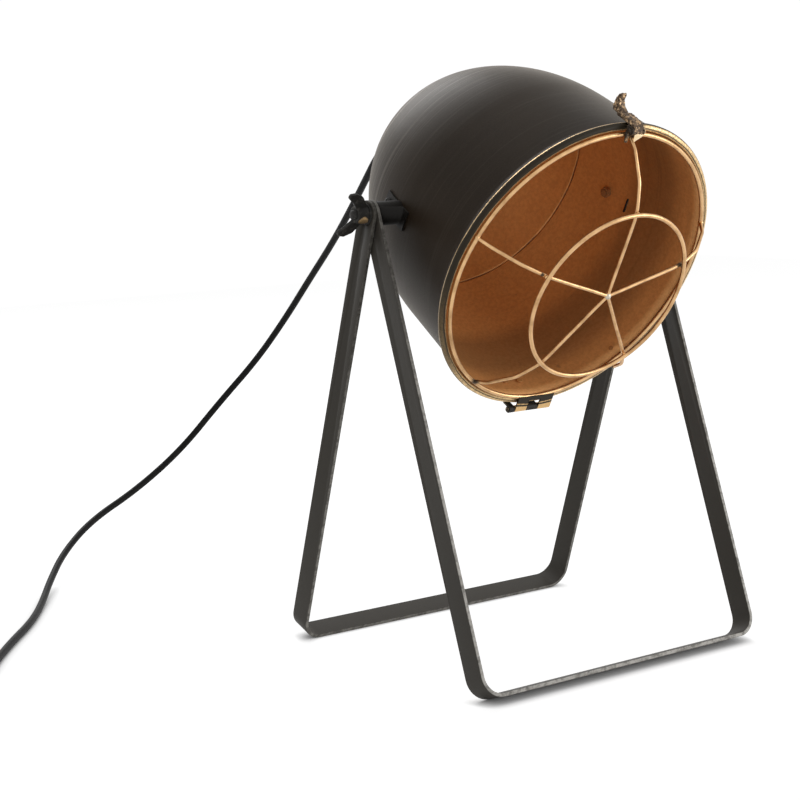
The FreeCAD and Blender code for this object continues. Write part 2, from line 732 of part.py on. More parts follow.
def spoke(index):
    """One bent spoke from the rim ring, behind the front ring, to the hub."""
    points = [
        Vec(0, RIM_RING_RADIUS, RIM_RING_PLACE),
        Vec(0, SPOKE_KNEE_RADIUS, SPOKE_KNEE_PLACE),
        Vec(0, SPOKE_SHOULDER_RADIUS, SPOKE_SHOULDER_PLACE),
        Vec(0, FRONT_RING_RADIUS, spoke_end_place()),
        Vec(0, 0, hub_place()),
    ]
    rod = round_rod(points, SPOKE_BENDS, SPOKE_WIRE / 2)
    rod = rod.cut(rim_ring()).cut(front_ring()).cut(hub())
    rod = max(rod.Solids, key=lambda solid: solid.Volume)
    rod.rotate(Vec(), Z_AXIS, -360 / SPOKE_COUNT * index)
    return rod


def catch_tab():
    """Flat three-cornered tab beside the top spoke, on the front of the latch's plate."""
    place = RIM_RING_FRONT + LATCH_PLATE
    left = SPOKE_WIRE / 2 + TAB_GAP
    outline = [
        Vec(left, TAB_TOP, place),
        Vec(TAB_REACH, TAB_TOP - 0.6, place),
        Vec(TAB_REACH - 0.8, TAB_TOP - 2.0, place),
        Vec(left + 1.2, TAB_FOOT, place),
        Vec(left, TAB_FOOT, place),
    ]
    return prism(outline, Vec(0, 0, TAB_PLATE))


def add_guard():
    add_on_axis("guard_rim_ring", rim_ring())
    add_on_axis("guard_front_ring", front_ring())
    for index in range(SPOKE_COUNT):
        add_on_axis("guard_spoke_%d" % (index + 1), spoke(index))
    add_on_axis("guard_hub", hub())
    add_on_axis("guard_catch_tab", catch_tab())


# ---------------------------------------------------------------- latch
def latch_pin_place():
    return RIM_RING_FRONT + LATCH_PLATE + LATCH_PIN_STAND


def latch_base():
    """Plate on the front of the rim ring: two prongs below, two ears for the pin above."""
    back = RIM_RING_FRONT
    half = LATCH_WIDTH / 2
    foot = LATCH_FOOT_WIDTH / 2
    outline = [
        Vec(-foot, LATCH_PLATE_FOOT, back),
        Vec(foot, LATCH_PLATE_FOOT, back),
        Vec(half, LATCH_SLOT_TOP, back),
        Vec(half, LATCH_PLATE_TOP, back),
        Vec(-half, LATCH_PLATE_TOP, back),
        Vec(-half, LATCH_SLOT_TOP, back),
    ]
    plate = prism(outline, Vec(0, 0, LATCH_PLATE))
    through = (back - THROUGH, back + THROUGH)
    slot = box(-LATCH_SLOT_WIDTH / 2, LATCH_SLOT_WIDTH / 2, 0, LATCH_SLOT_TOP, *through)
    plate = plate.cut(slot)
    window = half - LATCH_EAR
    upper = box(-window, window, LATCH_SLOT_TOP + LATCH_WEB, LATCH_PLATE_TOP + THROUGH, *through)
    plate = plate.cut(upper)
    pin_place = latch_pin_place()
    for sign in (-1, 1):
        start = Vec(sign * half, LATCH_PIN_RADIUS, pin_place)
        ear = cylinder(LATCH_PLATE_TOP - LATCH_PIN_RADIUS, LATCH_EAR, start, X_AXIS * -sign)
        low = LATCH_PIN_RADIUS * 2 - LATCH_PLATE_TOP
        near, far = sorted((sign * half, sign * (half - LATCH_EAR)))
        ear = ear.fuse(box(near, far, low, LATCH_PLATE_TOP, back, pin_place))
        plate = plate.fuse(ear)
    plate = plate.removeSplitter()
    start = Vec(-THROUGH, LATCH_PIN_RADIUS, pin_place)
    bore = cylinder(LATCH_PIN_DIAMETER / 2 + PIN_FIT, 2 * THROUGH, start, X_AXIS)
    return plate.cut(bore)


def latch_lever():
    """Lever from the pin back over the rim bead, ending in an upturned horn."""
    pin_place = latch_pin_place()
    half = LATCH_WIDTH / 2 - LATCH_EAR - LATCH_SIDE_GAP
    barrel_start = Vec(-half, LATCH_PIN_RADIUS, pin_place)
    lever = cylinder(LATCH_BARREL / 2, 2 * half, barrel_start, X_AXIS)
    bead_top = BEAD_CENTRE_RADIUS + BEAD_RADIUS
    under = bead_top + LEVER_LIFT
    arm = [
        (LATCH_PIN_RADIUS, pin_place - LATCH_BARREL / 2 + 0.2),
        (LATCH_PIN_RADIUS, pin_place + LATCH_BARREL / 2 - 0.2),
        (under + 1.2, pin_place + 1.4),
        (under + 3.2, pin_place - 3.0),
        (under + 3.6, RIM_PLACE - 4.0),
        (under + 1.6, RIM_PLACE - 10.0),
        (under, RIM_PLACE - 9.0),
        (under, pin_place - LATCH_BARREL / 2 - 0.6),
    ]
    arm_shape = prism([Vec(-half, radius, place) for radius, place in arm], Vec(2 * half, 0, 0))
    lever = lever.fuse(arm_shape)
    wide = HORN_WIDTH / 2
    horn = [Vec(-wide, under + rise, RIM_PLACE - back) for rise, back in HORN_OUTLINE]
    horn_shape = prism(horn, Vec(2 * wide, 0, 0))
    tip_level = under + HORN_ROUND_FROM
    sides = [
        edge
        for edge in horn_shape.Edges
        if edge.BoundBox.XLength < 0.01 and edge.CenterOfMass.y > tip_level
    ]
    horn_shape = horn_shape.makeFillet(HORN_EDGE_ROUND, sides)
    lever = lever.fuse(horn_shape).removeSplitter()
    cross = LATCH_PIN_DIAMETER / 2 + HINGE_PIN_CLEARANCE
    return lever.cut(cylinder(cross, 2 * THROUGH, Vec(-THROUGH, LATCH_PIN_RADIUS, pin_place), X_AXIS))


def latch_pin():
    half = LATCH_WIDTH / 2 + LATCH_PIN_HEAD_HEIGHT
    start = Vec(-half, LATCH_PIN_RADIUS, latch_pin_place())
    pin = cylinder(LATCH_PIN_DIAMETER / 2, 2 * half, start, X_AXIS)
    for sign in (-1, 1):
        face = Vec(sign * (LATCH_WIDTH / 2 + FACE_GAP), LATCH_PIN_RADIUS, latch_pin_place())
        pin = pin.fuse(cylinder(LATCH_PIN_HEAD / 2, LATCH_PIN_HEAD_HEIGHT, face, X_AXIS * sign))
    return pin.removeSplitter()


def add_latch():
    ring = rim_ring()
    add_on_axis("latch_base", latch_base().cut(ring))
    add_on_axis("latch_pin", latch_pin())
    add_on_axis("latch_lever", latch_lever())


# ---------------------------------------------------------------- bottom hinge
def rivet_places():
    middle = (HINGE_LEFT + HINGE_SPLIT_C) / 2
    return [middle - RIVET_SPACING / 2, middle + RIVET_SPACING / 2]


def knuckle(x0, x1):
    start = Vec(x0, -HINGE_RADIUS, HINGE_PLACE)
    return cylinder(HINGE_BARREL / 2, x1 - x0, start, X_AXIS)


def hinge_bore():
    start = Vec(HINGE_LEFT - THROUGH, -HINGE_RADIUS, HINGE_PLACE)
    length = HINGE_RIGHT - HINGE_LEFT + 2 * THROUGH
    return cylinder(HINGE_PIN / 2 + HINGE_PIN_CLEARANCE, length, start, X_AXIS)


def hinge_bracket():
    """Leaf on the outside of the shade, two arms over the rim bead and their knuckles."""
    low = HINGE_RADIUS - HINGE_BARREL / 2
    high = low + LEAF_THICKNESS
    wall = wall_radius(LEAF_STEP)
    outline = [
        (LEAF_BACK, wall - LEAF_SINK),
        (LEAF_STEP, wall - LEAF_SINK),
        (LEAF_STEP, wall + 0.8),
        (LEAF_STEP + 2.9, low),
        (HINGE_PLACE, low),
        (HINGE_PLACE, high),
        (LEAF_STEP + 2.2, high),
        (LEAF_STEP - 1.1, wall + LEAF_THICKNESS),
        (LEAF_BACK, wall + LEAF_THICKNESS),
    ]
    points = [Vec(HINGE_LEFT, -depth, place) for place, depth in outline]
    leaf = prism(points, Vec(HINGE_SPLIT_C - HINGE_LEFT, 0, 0))
    gap = box(HINGE_SPLIT_A, HINGE_SPLIT_B, -HINGE_RADIUS - 10, -wall - 2.2, LEAF_STEP - 1, HINGE_PLACE + 10)
    leaf = leaf.cut(gap)
    leaf = leaf.fuse(knuckle(HINGE_LEFT, HINGE_SPLIT_A)).fuse(knuckle(HINGE_SPLIT_B, HINGE_SPLIT_C))
    keep_out = solid_of_shade(-FACE_GAP)
    leaf = leaf.removeSplitter().cut(keep_out).cut(hinge_bore())
    for x in rivet_places():
        start = Vec(x, -wall + THROUGH, RIVET_PLACE)
        leaf = leaf.cut(cylinder(RIVET_DIAMETER / 2 + PIN_FIT, 2 * THROUGH, start, Y_AXIS * -1))
    return leaf


def guard_hinge_leaf():
    """Two knuckles on a plate that is welded to the guard's rim ring."""
    front = HINGE_PLACE + HINGE_BARREL / 2
    plate_back = front - LEAF_THICKNESS
    shape = None
    for x0, x1 in ((HINGE_SPLIT_A, HINGE_SPLIT_B), (HINGE_SPLIT_C, HINGE_RIGHT)):
        left = x0 + HINGE_SIDE_GAP
        right = x1 - (HINGE_SIDE_GAP if x1 < HINGE_RIGHT else 0)
        plate = box(left, right, -HINGE_RADIUS, -RIM_RING_RADIUS + LEAF_WELD, plate_back, front)
        part = knuckle(left, right).fuse(plate)
        shape = part if shape is None else shape.fuse(part)
    bridge_top = -RIM_RING_RADIUS + LEAF_WELD
    bridge_foot = -RIM_RING_RADIUS - LEAF_BRIDGE
    bridge = box(HINGE_SPLIT_A + 1, HINGE_RIGHT - 1, bridge_foot, bridge_top, plate_back, front)
    shape = shape.fuse(bridge).removeSplitter()
    return shape.cut(hinge_bore()).cut(rim_ring())


def hinge_pin():
    length = HINGE_RIGHT - HINGE_LEFT + 2 * FACE_GAP
    start = Vec(HINGE_LEFT - FACE_GAP, -HINGE_RADIUS, HINGE_PLACE)
    pin = cylinder(HINGE_PIN / 2, length, start, X_AXIS)
    head = HINGE_PIN_HEAD / 2
    pin = pin.fuse(cylinder(head, HINGE_PIN_HEAD_HEIGHT, start, X_AXIS * -1))
    pin = pin.fuse(cylinder(head, HINGE_PIN_HEAD_HEIGHT, start + X_AXIS * length, X_AXIS))
    return pin.removeSplitter()


def hinge_rivet(x):
    """Round-headed rivet through leaf and wall, closed inside."""
    wall = wall_radius(LEAF_STEP)
    outer_face = wall + LEAF_THICKNESS + FACE_GAP
    inner_face = math.sqrt(wall_radius(RIVET_PLACE, SHADE_WALL) ** 2 - x * x) - RIVET_SEAT
    inner_end = Vec(x, -inner_face, RIVET_PLACE)
    shank = cylinder(RIVET_DIAMETER / 2, outer_face - inner_face, inner_end, Y_AXIS * -1)
    outer_end = Vec(x, -outer_face, RIVET_PLACE)
    head = Part.makeCone(RIVET_HEAD / 2, RIVET_HEAD / 3.4, RIVET_HEAD_HEIGHT, outer_end, Y_AXIS * -1)
    closing = cylinder(RIVET_HEAD / 2.4, RIVET_HEAD_HEIGHT * 0.7, inner_end, Y_AXIS)
    return shank.fuse(head).fuse(closing).removeSplitter()


def add_hinge():
    add_on_axis("hinge_bracket", hinge_bracket())
    add_on_axis("guard_hinge_leaf", guard_hinge_leaf())
    add_on_axis("hinge_pin", hinge_pin())
    add_on_axis("hinge_rivets", group([hinge_rivet(x) for x in rivet_places()]))


# ---------------------------------------------------------------- rim knob
def knob_direction():
    angle = math.radians(KNOB_ANGLE)
    return Vec(math.sin(angle), math.cos(angle), 0)


def rim_knob():
    """Turned knob on a stem through the shade, behind the bead."""
    way = knob_direction()
    start = wall_radius(KNOB_PLACE, SHADE_WALL) - KNOB_STEM_END
    stem = cylinder(KNOB_STEM / 2, KNOB_FOOT_RADIUS - start, way * start, way)
    collar_start = wall_radius(KNOB_PLACE) + KNOB_COLLAR_GAP
    collar = cylinder(KNOB_COLLAR / 2, KNOB_COLLAR_HEIGHT, way * collar_start, way)
    head = cylinder(KNOB_DIAMETER / 2, KNOB_HEIGHT, way * KNOB_FOOT_RADIUS, way)
    rims = [edge for edge in head.Edges if abs(edge.Length - math.pi * KNOB_DIAMETER) < 0.1]
    head = head.makeFillet(KNOB_EDGE_ROUND, rims)
    knob = stem.fuse(collar).fuse(head).removeSplitter()
    knob.translate(Vec(0, 0, KNOB_PLACE))
    return knob


# ---------------------------------------------------------------- lampholder and cord entry
def crown_face(radius, inset, outward):
    """Where a flat face round the axis first meets the crown of the shade, outside or inside."""
    reach = radius / (DOME_RADIUS - inset)
    surface = DOME_CENTRE - (DOME_LENGTH - inset) * math.sqrt(1 - reach * reach)
    return surface - FACE_GAP if outward else surface + FACE_GAP


def outer_nut_faces():
    near = crown_face(NIPPLE_DIAMETER / 2 + CROWN_HOLE_CLEARANCE, 0, True)
    return near - LOCK_NUT_HEIGHT, near


def inner_nut_faces():
    corner = LOCK_NUT_WIDTH / 2 / math.cos(math.pi / 6)
    near = crown_face(corner, SHADE_WALL, False)
    return near, near + LOCK_NUT_HEIGHT


def lock_nut(faces):
    near, far = faces
    blank = hexagon(LOCK_NUT_WIDTH, far - near, Vec(0, 0, near), Z_AXIS)
    return blank.cut(cylinder(NIPPLE_DIAMETER / 2 + PIN_FIT, 2 * THROUGH, Vec(0, 0, near - THROUGH), Z_AXIS))


def nipple():
    start = outer_nut_faces()[0] + FACE_GAP
    return tube(NIPPLE_DIAMETER / 2, NIPPLE_BORE / 2, NIPPLE_FRONT_PLACE - start, Vec(0, 0, start), Z_AXIS)


def holder_cap():
    """Domed back of the lampholder, screwed on the nipple."""
    outer = HOLDER_RADIUS
    neck = HOLDER_NECK_RADIUS
    thread = NIPPLE_DIAMETER / 2 + PIN_FIT
    wall = HOLDER_WALL
    slope_start = HOLDER_BACK_PLACE + HOLDER_NECK_LENGTH
    slope_end = slope_start + HOLDER_SHOULDER_LENGTH
    full = slope_end + HOLDER_SHOULDER
    return turned(
        [
            (thread, HOLDER_BACK_PLACE),
            (neck, HOLDER_BACK_PLACE),
            (neck, slope_start),
            (outer - HOLDER_SHOULDER, slope_end),
            (outer, full),
            (outer, HOLDER_JOINT_PLACE),
            (outer - wall, HOLDER_JOINT_PLACE),
            (outer - wall, full + wall / 2),
            (outer - HOLDER_SHOULDER - wall, slope_end + wall),
            (neck, NIPPLE_FRONT_PLACE + 1),
            (thread, NIPPLE_FRONT_PLACE + 1),
        ]
    )


def holder_skirt():
    """Front sleeve of the lampholder."""
    wall = HOLDER_WALL
    length = HOLDER_FRONT - HOLDER_JOINT
    sleeve = tube(HOLDER_RADIUS, HOLDER_RADIUS - wall, length, Vec(0, 0, HOLDER_JOINT_PLACE), Z_AXIS)
    lip_inner = SOCKET_BORE / 2 + SOCKET_WALL + INSERT_CLEARANCE
    lip = tube(HOLDER_RADIUS, lip_inner, HOLDER_LIP, Vec(0, 0, HOLDER_FRONT_PLACE - HOLDER_LIP), Z_AXIS)
    ledge_inner = HOLDER_RADIUS - wall - HOLDER_LEDGE_WIDTH
    ledge_start = Vec(0, 0, insert_back() - HOLDER_LEDGE - INSERT_CLEARANCE)
    ledge = tube(HOLDER_RADIUS, ledge_inner, HOLDER_LEDGE, ledge_start, Z_AXIS)
    return sleeve.fuse(lip).fuse(ledge).removeSplitter()


def insert_back():
    return HOLDER_FRONT_PLACE - HOLDER_LIP - SOCKET_LENGTH - INSERT_THICKNESS + SHELL_PROUD


def insert_front():
    return insert_back() + INSERT_THICKNESS


def socket_insert():
    """Ceramic disc that carries the threaded shell, the contact and the terminals."""
    radius = HOLDER_RADIUS - HOLDER_WALL - INSERT_CLEARANCE
    return cylinder(radius, INSERT_THICKNESS, Vec(0, 0, insert_back()), Z_AXIS)


def socket_shell():
    """Threaded shell, drawn plain at the thread's major size, with a narrower collar at its foot."""
    start = Vec(0, 0, insert_front())
    outer = SOCKET_BORE / 2 + SOCKET_WALL
    shell = tube(outer, SOCKET_BORE / 2, SOCKET_LENGTH, start, Z_AXIS)
    collar = tube(outer, SOCKET_BORE / 2 - SOCKET_WALL, SOCKET_COLLAR, start, Z_AXIS)
    return shell.fuse(collar).removeSplitter()


def centre_contact():
    """Spring tongue that rises from the insert to the middle of the socket."""
    start = insert_front()
    half = CONTACT_WIDTH / 2
    thick = CONTACT_THICKNESS
    reach = CONTACT_LENGTH / 2
    crest = CONTACT_WIDTH / 5
    outline = [
        Vec(-half, -reach, start),
        Vec(-half, -reach + CONTACT_FOOT, start),
        Vec(-half, crest, start + CONTACT_RISE),
        Vec(-half, reach, start + CONTACT_TIP),
        Vec(-half, reach, start + CONTACT_TIP + thick),
        Vec(-half, crest, start + CONTACT_RISE + thick),
        Vec(-half, -reach + CONTACT_FOOT - thick / 2, start + thick),
        Vec(-half, -reach, start + thick),
    ]
    return prism(outline, Vec(CONTACT_WIDTH, 0, 0))


def terminals():
    start = insert_back() - TERMINAL_HEIGHT
    radius = TERMINAL_DIAMETER / 2
    places = (-TERMINAL_SPACING / 2, TERMINAL_SPACING / 2)
    return group([cylinder(radius, TERMINAL_HEIGHT, Vec(x, 0, start), Z_AXIS) for x in places])


def sheath_end():
    """The cord's sheath ends just past the nipple."""
    return NIPPLE_FRONT_PLACE + CORD_RADIUS


def cord_inside():
    start = outer_nut_faces()[0] + FACE_GAP
    return cylinder(CORD_RADIUS, sheath_end() - start, Vec(0, 0, start), Z_AXIS)


def core_wires():
    """The cord's two cores, from its sheath to the terminals."""
    start = sheath_end() + CORD_END_GAP
    end = insert_back() - TERMINAL_HEIGHT - FACE_GAP
    cores = []
    for side in (-1, 1):
        points = [
            Vec(side * CORE_SPACING / 2, 0, start),
            Vec(side * CORE_SPREAD / 2, 0, start + CORE_STRAIGHT),
            Vec(side * TERMINAL_SPACING / 2, 0, end - CORE_END),
            Vec(side * TERMINAL_SPACING / 2, 0, end),
        ]
        cores.append(round_rod(points, [CORE_BEND, CORE_BEND], CORE_DIAMETER / 2))
    return group(cores)


def boot_point(angle, base):
    """A point on the strain relief's bend, and the direction there."""
    point = Vec(0, -BOOT_BEND + BOOT_BEND * math.cos(angle), base - BOOT_BEND * math.sin(angle))
    return point, Vec(0, -math.sin(angle), -math.cos(angle))


def strain_relief():
    """Ribbed, tapered boot that bends down from the crown nut."""
    base = outer_nut_faces()[0] - FACE_GAP
    rings = []
    steps = 2 * BOOT_RIBS + 1
    for step in range(steps + 1):
        share = step / steps
        point, way = boot_point(math.radians(BOOT_TURN) * share, base)
        radius = BOOT_BASE_RADIUS + (BOOT_END_RADIUS - BOOT_BASE_RADIUS) * share
        if step % 2 and step < steps:
            radius -= BOOT_GROOVE
        rings.append(Part.Wire(Part.makeCircle(radius, point, way)))
    return Part.makeLoft(rings, True, True)


def boot_end():
    """End of the strain relief in the lamp's frame."""
    point, _ = boot_point(math.radians(BOOT_TURN), outer_nut_faces()[0] - FACE_GAP)
    return HEAD_FRAME.multVec(point + AXIS_SHIFT)


def add_lampholder():
    add_on_axis("cord_nipple", nipple())
    add_on_axis("crown_nut", lock_nut(outer_nut_faces()))
    add_on_axis("inner_lock_nut", lock_nut(inner_nut_faces()))
    add_on_axis("lampholder_cap", holder_cap())
    add_on_axis("lampholder_skirt", holder_skirt())
    add_on_axis("socket_insert", socket_insert())
    add_on_axis("socket_shell", socket_shell())
    add_on_axis("centre_contact", centre_contact())
    add_on_axis("terminals", terminals())
    add_on_axis("cord_inside", cord_inside())
    add_on_axis("core_wires", core_wires())
    add_on_axis("strain_relief", strain_relief())


# ---------------------------------------------------------------- cord, switch, coil and plug
CORD_LEVEL = CORD_RADIUS + CORD_LIFT
SWITCH_LEVEL = SWITCH_BASE_HEIGHT
# Route from the strain relief, down behind the lamp and round to its left. y is from the pivots.
HANGING_ROUTE = [
    (1, 141, 362.5),
    (2.5, 154, 355),
    (4, 171, 345),
    (9, 193, 329.5),
    (20, 235, 302),
    (29, 278, 273),
    (34, 322, 242),
    (33, 362, 206),
    (23, 398, 167),
    (0, 428, 128),
    (-33, 443, 87),
    (-78, 446, 56),
    (-129, 435, 37),
    (-170, 405, 20),
    (-203, 362, 8),
]
TABLE_ROUTE = [
    (-231, 316, CORD_LEVEL),
    (-260, 271, CORD_LEVEL),
    (-293, 230, CORD_LEVEL),
    (-321, 192, CORD_LEVEL),
    (-336, 168, CORD_LEVEL),
    (-357, 153, CORD_LEVEL + SWITCH_APPROACH),
    (-381, 154, SWITCH_LEVEL),
]
# The far end is laid out from the middle of the switch, along the switch's own direction.
SWITCH_CENTRE = (-425.0, 170.6)
SWITCH_HEADING = 157.0
COIL_ALONG = 44.0
COIL_ASIDE = 63.0
LEAD_RUN = 14.0
LEAD_TURN = math.pi / 8


def lamp_point(point):
    return Vec(point[0], point[1] + PIVOT_Y, point[2])


def switch_frame():
    centre = Vec(SWITCH_CENTRE[0], SWITCH_CENTRE[1] + PIVOT_Y, 0)
    return FreeCAD.Placement(centre, FreeCAD.Rotation(Z_AXIS, SWITCH_HEADING))


def from_switch(along, aside, level):
    """A point given along and to the right of the switch."""
    return switch_frame().multVec(Vec(along, -aside, level))


def route_radii(name, points):
    """Largest bend at each point: nine tenths of half the shorter run."""
    radii = []
    for index in range(1, len(points) - 1):
        before = points[index] - points[index - 1]
        after = points[index + 1] - points[index]
        turn = before.getAngle(after)
        radii.append(0.45 * min(before.Length, after.Length) / math.tan(turn / 2))
    print("%-13s radii %s" % (name, " ".join("%.0f" % radius for radius in radii)))
    return radii


def cord_tube(name, points):
    """A stretch of free cord."""
    radii = route_radii(name, points)
    tube_shape = round_rod(points, radii, CORD_RADIUS)
    path = arc_path(points, radii)
    share = tube_shape.Volume / (math.pi * CORD_RADIUS**2 * path.Length)
    print("%-13s length %.1f, volume %.4f of section x length" % (name, path.Length, share))
    return tube_shape


def switch_end(side):
    """Where the cord meets the switch, before it (-1) and after it (+1)."""
    return from_switch(side * (SWITCH_LENGTH / 2 + FACE_GAP), 0, SWITCH_LEVEL)


def add_cord():
    hanging = [boot_end()] + [lamp_point(point) for point in HANGING_ROUTE]
    table = [lamp_point(point) for point in TABLE_ROUTE]
    joint = (hanging[-1] + table[0]) * 0.5
    boot_way = boot_point(math.radians(BOOT_TURN), 0)[1]
    hanging[0] = hanging[0] + HEAD_FRAME.Rotation.multVec(boot_way) * CORD_END_GAP
    add("cord_hanging", cord_tube("cord_hanging", hanging + [joint]))
    gap = (table[0] - joint).normalize() * FACE_GAP
    add("cord_table", cord_tube("cord_table", [joint + gap] + table + [switch_end(-1)]))
    add("cord_lead", cord_tube("cord_lead", lead_route()))


def lead_route():
    """From the switch round a quarter turn to the coil's tangent, in even steps."""
    tangent = COIL_ALONG + COIL_MIDDLE_RADIUS
    along = tangent - LEAD_RUN * sum(math.cos(step * LEAD_TURN) for step in (1, 2, 3))
    aside = 0.0
    points = [switch_end(1), from_switch(along, aside, SWITCH_LEVEL)]
    for step in (1, 2, 3):
        along += LEAD_RUN * math.cos(step * LEAD_TURN)
        aside += LEAD_RUN * math.sin(step * LEAD_TURN)
        points.append(from_switch(along, aside, CORD_LEVEL))
    points.append(from_switch(tangent, COIL_ASIDE - coil_meet(), CORD_LEVEL))
    return points


def coil_height():
    return CORD_LEVEL + COIL_TURNS * COIL_PITCH + CORD_RADIUS


def cord_coil(centre):
    outer = COIL_MIDDLE_RADIUS + COIL_HALF_WIDTH
    inner = COIL_MIDDLE_RADIUS - COIL_HALF_WIDTH
    return tube(outer, inner, coil_height() - COIL_LIFT, centre + Z_AXIS * COIL_LIFT, Z_AXIS)


def cord_tie(centre):
    """Band round the bundle, on the side of the coil away from the lamp's cord."""
    half = COIL_HALF_WIDTH + TIE_GAP
    side = TIE_WIDTH / 2
    inner = math.sqrt((COIL_MIDDLE_RADIUS - half) ** 2 - side**2)
    outer = COIL_MIDDLE_RADIUS + half
    low = COIL_LIFT - TIE_GAP
    high = coil_height() + TIE_GAP
    thick = TIE_THICKNESS
    band = box(-side, side, inner - thick, outer + thick, low - thick, high + thick)
    rounded = [edge for edge in band.Edges if edge.BoundBox.XLength > TIE_WIDTH - 0.1]
    band = band.makeFillet(TIE_EDGE_ROUND, rounded)
    band = band.cut(box(-side - THROUGH, side + THROUGH, inner, outer, low, high))
    band.Placement = FreeCAD.Placement(centre, switch_frame().Rotation)
    return band


def coil_meet():
    """How far from the coil's middle line a cord along its tangent reaches its outside."""
    outer = COIL_MIDDLE_RADIUS + COIL_HALF_WIDTH
    return math.sqrt(outer**2 - (COIL_MIDDLE_RADIUS - CORD_RADIUS) ** 2) + FACE_GAP


def plug_body():
    """Moulded flat plug with a tapered cord entry."""
    half = PLUG_WIDTH / 2
    back = PLUG_BACK_WIDTH / 2
    step = PLUG_FACE_STEP
    outline = [
        Vec(0, -half + step, 0),
        Vec(-step, -half, 0),
        Vec(-PLUG_SHOULDER, -half, 0),
        Vec(-PLUG_LENGTH, -back, 0),
        Vec(-PLUG_LENGTH, back, 0),
        Vec(-PLUG_SHOULDER, half, 0),
        Vec(-step, half, 0),
        Vec(0, half - step, 0),
    ]
    body = prism(outline, Vec(0, 0, PLUG_THICKNESS))
    body = body.makeFillet(PLUG_ROUND, [edge for edge in body.Edges if edge.BoundBox.XMax < -0.5])
    start = Vec(-PLUG_LENGTH + PLUG_TAPER_SINK, 0, PLUG_THICKNESS / 2)
    taper = Part.makeCone(PLUG_BACK_WIDTH / 2 - 0.4, PLUG_TAPER_END, PLUG_TAPER_LENGTH, start, X_AXIS * -1)
    body = body.fuse(taper).removeSplitter()
    for side in (-1, 1):
        hole = Vec(-PIN_DEPTH, side * PIN_SPACING / 2, PLUG_THICKNESS / 2)
        body = body.cut(cylinder(PIN_NECK_DIAMETER / 2 + PIN_FIT, PIN_DEPTH + THROUGH, hole, X_AXIS))
    return body


def plug_pins():
    """Two round pins, each on a thinner neck that is moulded into the plug."""
    pins = []
    for side in (-1, 1):
        root = Vec(-PIN_DEPTH + FACE_GAP, side * PIN_SPACING / 2, PLUG_THICKNESS / 2)
        neck = cylinder(PIN_NECK_DIAMETER / 2, PIN_DEPTH + 2 * PIN_NECK_REACH, root, X_AXIS)
        start = Vec(PIN_NECK_REACH, root.y, root.z)
        pin = cylinder(PIN_DIAMETER / 2, PIN_LENGTH - PIN_NECK_REACH, start, X_AXIS)
        tip = [edge for edge in pin.Edges if edge.CenterOfMass.x > PIN_LENGTH - 0.1]
        pins.append(pin.makeFillet(PIN_TIP_ROUND, tip).fuse(neck).removeSplitter())
    return group(pins)


def tail_route(tangent):
    """From the top turn of the coil down to the plug, in even steps of the same turn."""
    step = math.radians(TAIL_TURN)
    level = coil_height() - CORD_RADIUS
    run = (level - PLUG_THICKNESS / 2) / (2 * math.sin(step) + math.sin(2 * step))
    aside = COIL_ASIDE + coil_meet()
    points = [from_switch(tangent, aside, level)]
    for angle in (0, step, 2 * step, step, 0):
        aside += run * math.cos(angle)
        level -= run * math.sin(angle)
        points.append(from_switch(tangent, aside, level))
    return points


def add_coil_and_plug(tangent):
    centre = from_switch(tangent - COIL_MIDDLE_RADIUS, COIL_ASIDE, 0)
    add("cord_coil", cord_coil(centre))
    add("cord_tie", cord_tie(centre))
    tail = tail_route(tangent)
    add("cord_tail", cord_tube("cord_tail", tail))
    way = (tail[-1] - tail[-2]).normalize()
    front = tail[-1] + way * (FACE_GAP + PLUG_TAPER_LENGTH - PLUG_TAPER_SINK + PLUG_LENGTH)
    front.z = 0
    for name, shape in (("plug_body", plug_body()), ("plug_pins", plug_pins())):
        shape.Placement = FreeCAD.Placement(front, FreeCAD.Rotation(X_AXIS, way))
        add(name, shape)


# ---------------------------------------------------------------- in-line switch
def switch_block(z0, z1, inset):
    """The switch's rounded outline between two levels."""
    length = SWITCH_LENGTH / 2 - inset
    width = SWITCH_WIDTH / 2 - inset
    block = box(-length, length, -width, width, z0, z1)
    upright = [edge for edge in block.Edges if edge.BoundBox.ZLength > z1 - z0 - 0.01]
    return block.makeFillet(max(SWITCH_END_ROUND - inset, 1.0), upright)


def cord_channels():
    """Bores at both ends for the cord, on the parting plane."""
    start = Vec(-SWITCH_LENGTH, 0, SWITCH_LEVEL)
    return cylinder(CORD_RADIUS + FACE_GAP, 2 * SWITCH_LENGTH, start, X_AXIS)


def screw_places():
    return [-SWITCH_SCREW_SPACING / 2, SWITCH_SCREW_SPACING / 2]


def switch_posts(z0, z1):
    side = SWITCH_WIDTH / 2 - SWITCH_WALL - SWITCH_POST_RADIUS
    return [
        cylinder(SWITCH_POST_RADIUS, z1 - z0, Vec(x, sign * side, z0), Z_AXIS)
        for x, sign in zip(screw_places(), (-1, 1))
    ]


def switch_base():
    base = switch_block(0, SWITCH_BASE_HEIGHT, 0)
    base = base.cut(switch_block(SWITCH_FLOOR, SWITCH_BASE_HEIGHT + THROUGH, SWITCH_WALL))
    for post in switch_posts(0, SWITCH_BASE_HEIGHT):
        base = base.fuse(post)
        axis = Vec(post.BoundBox.Center.x, post.BoundBox.Center.y, -THROUGH)
        base = base.cut(cylinder(SWITCH_SCREW_DIAMETER / 2 + PIN_FIT, 2 * THROUGH, axis, Z_AXIS))
        recess = SWITCH_SCREW_HEAD / 2 + ROCKER_PIN_CLEARANCE
        base = base.cut(cylinder(recess, THROUGH + SWITCH_SCREW_RECESS, axis, Z_AXIS))
    return base.cut(cord_channels()).removeSplitter()


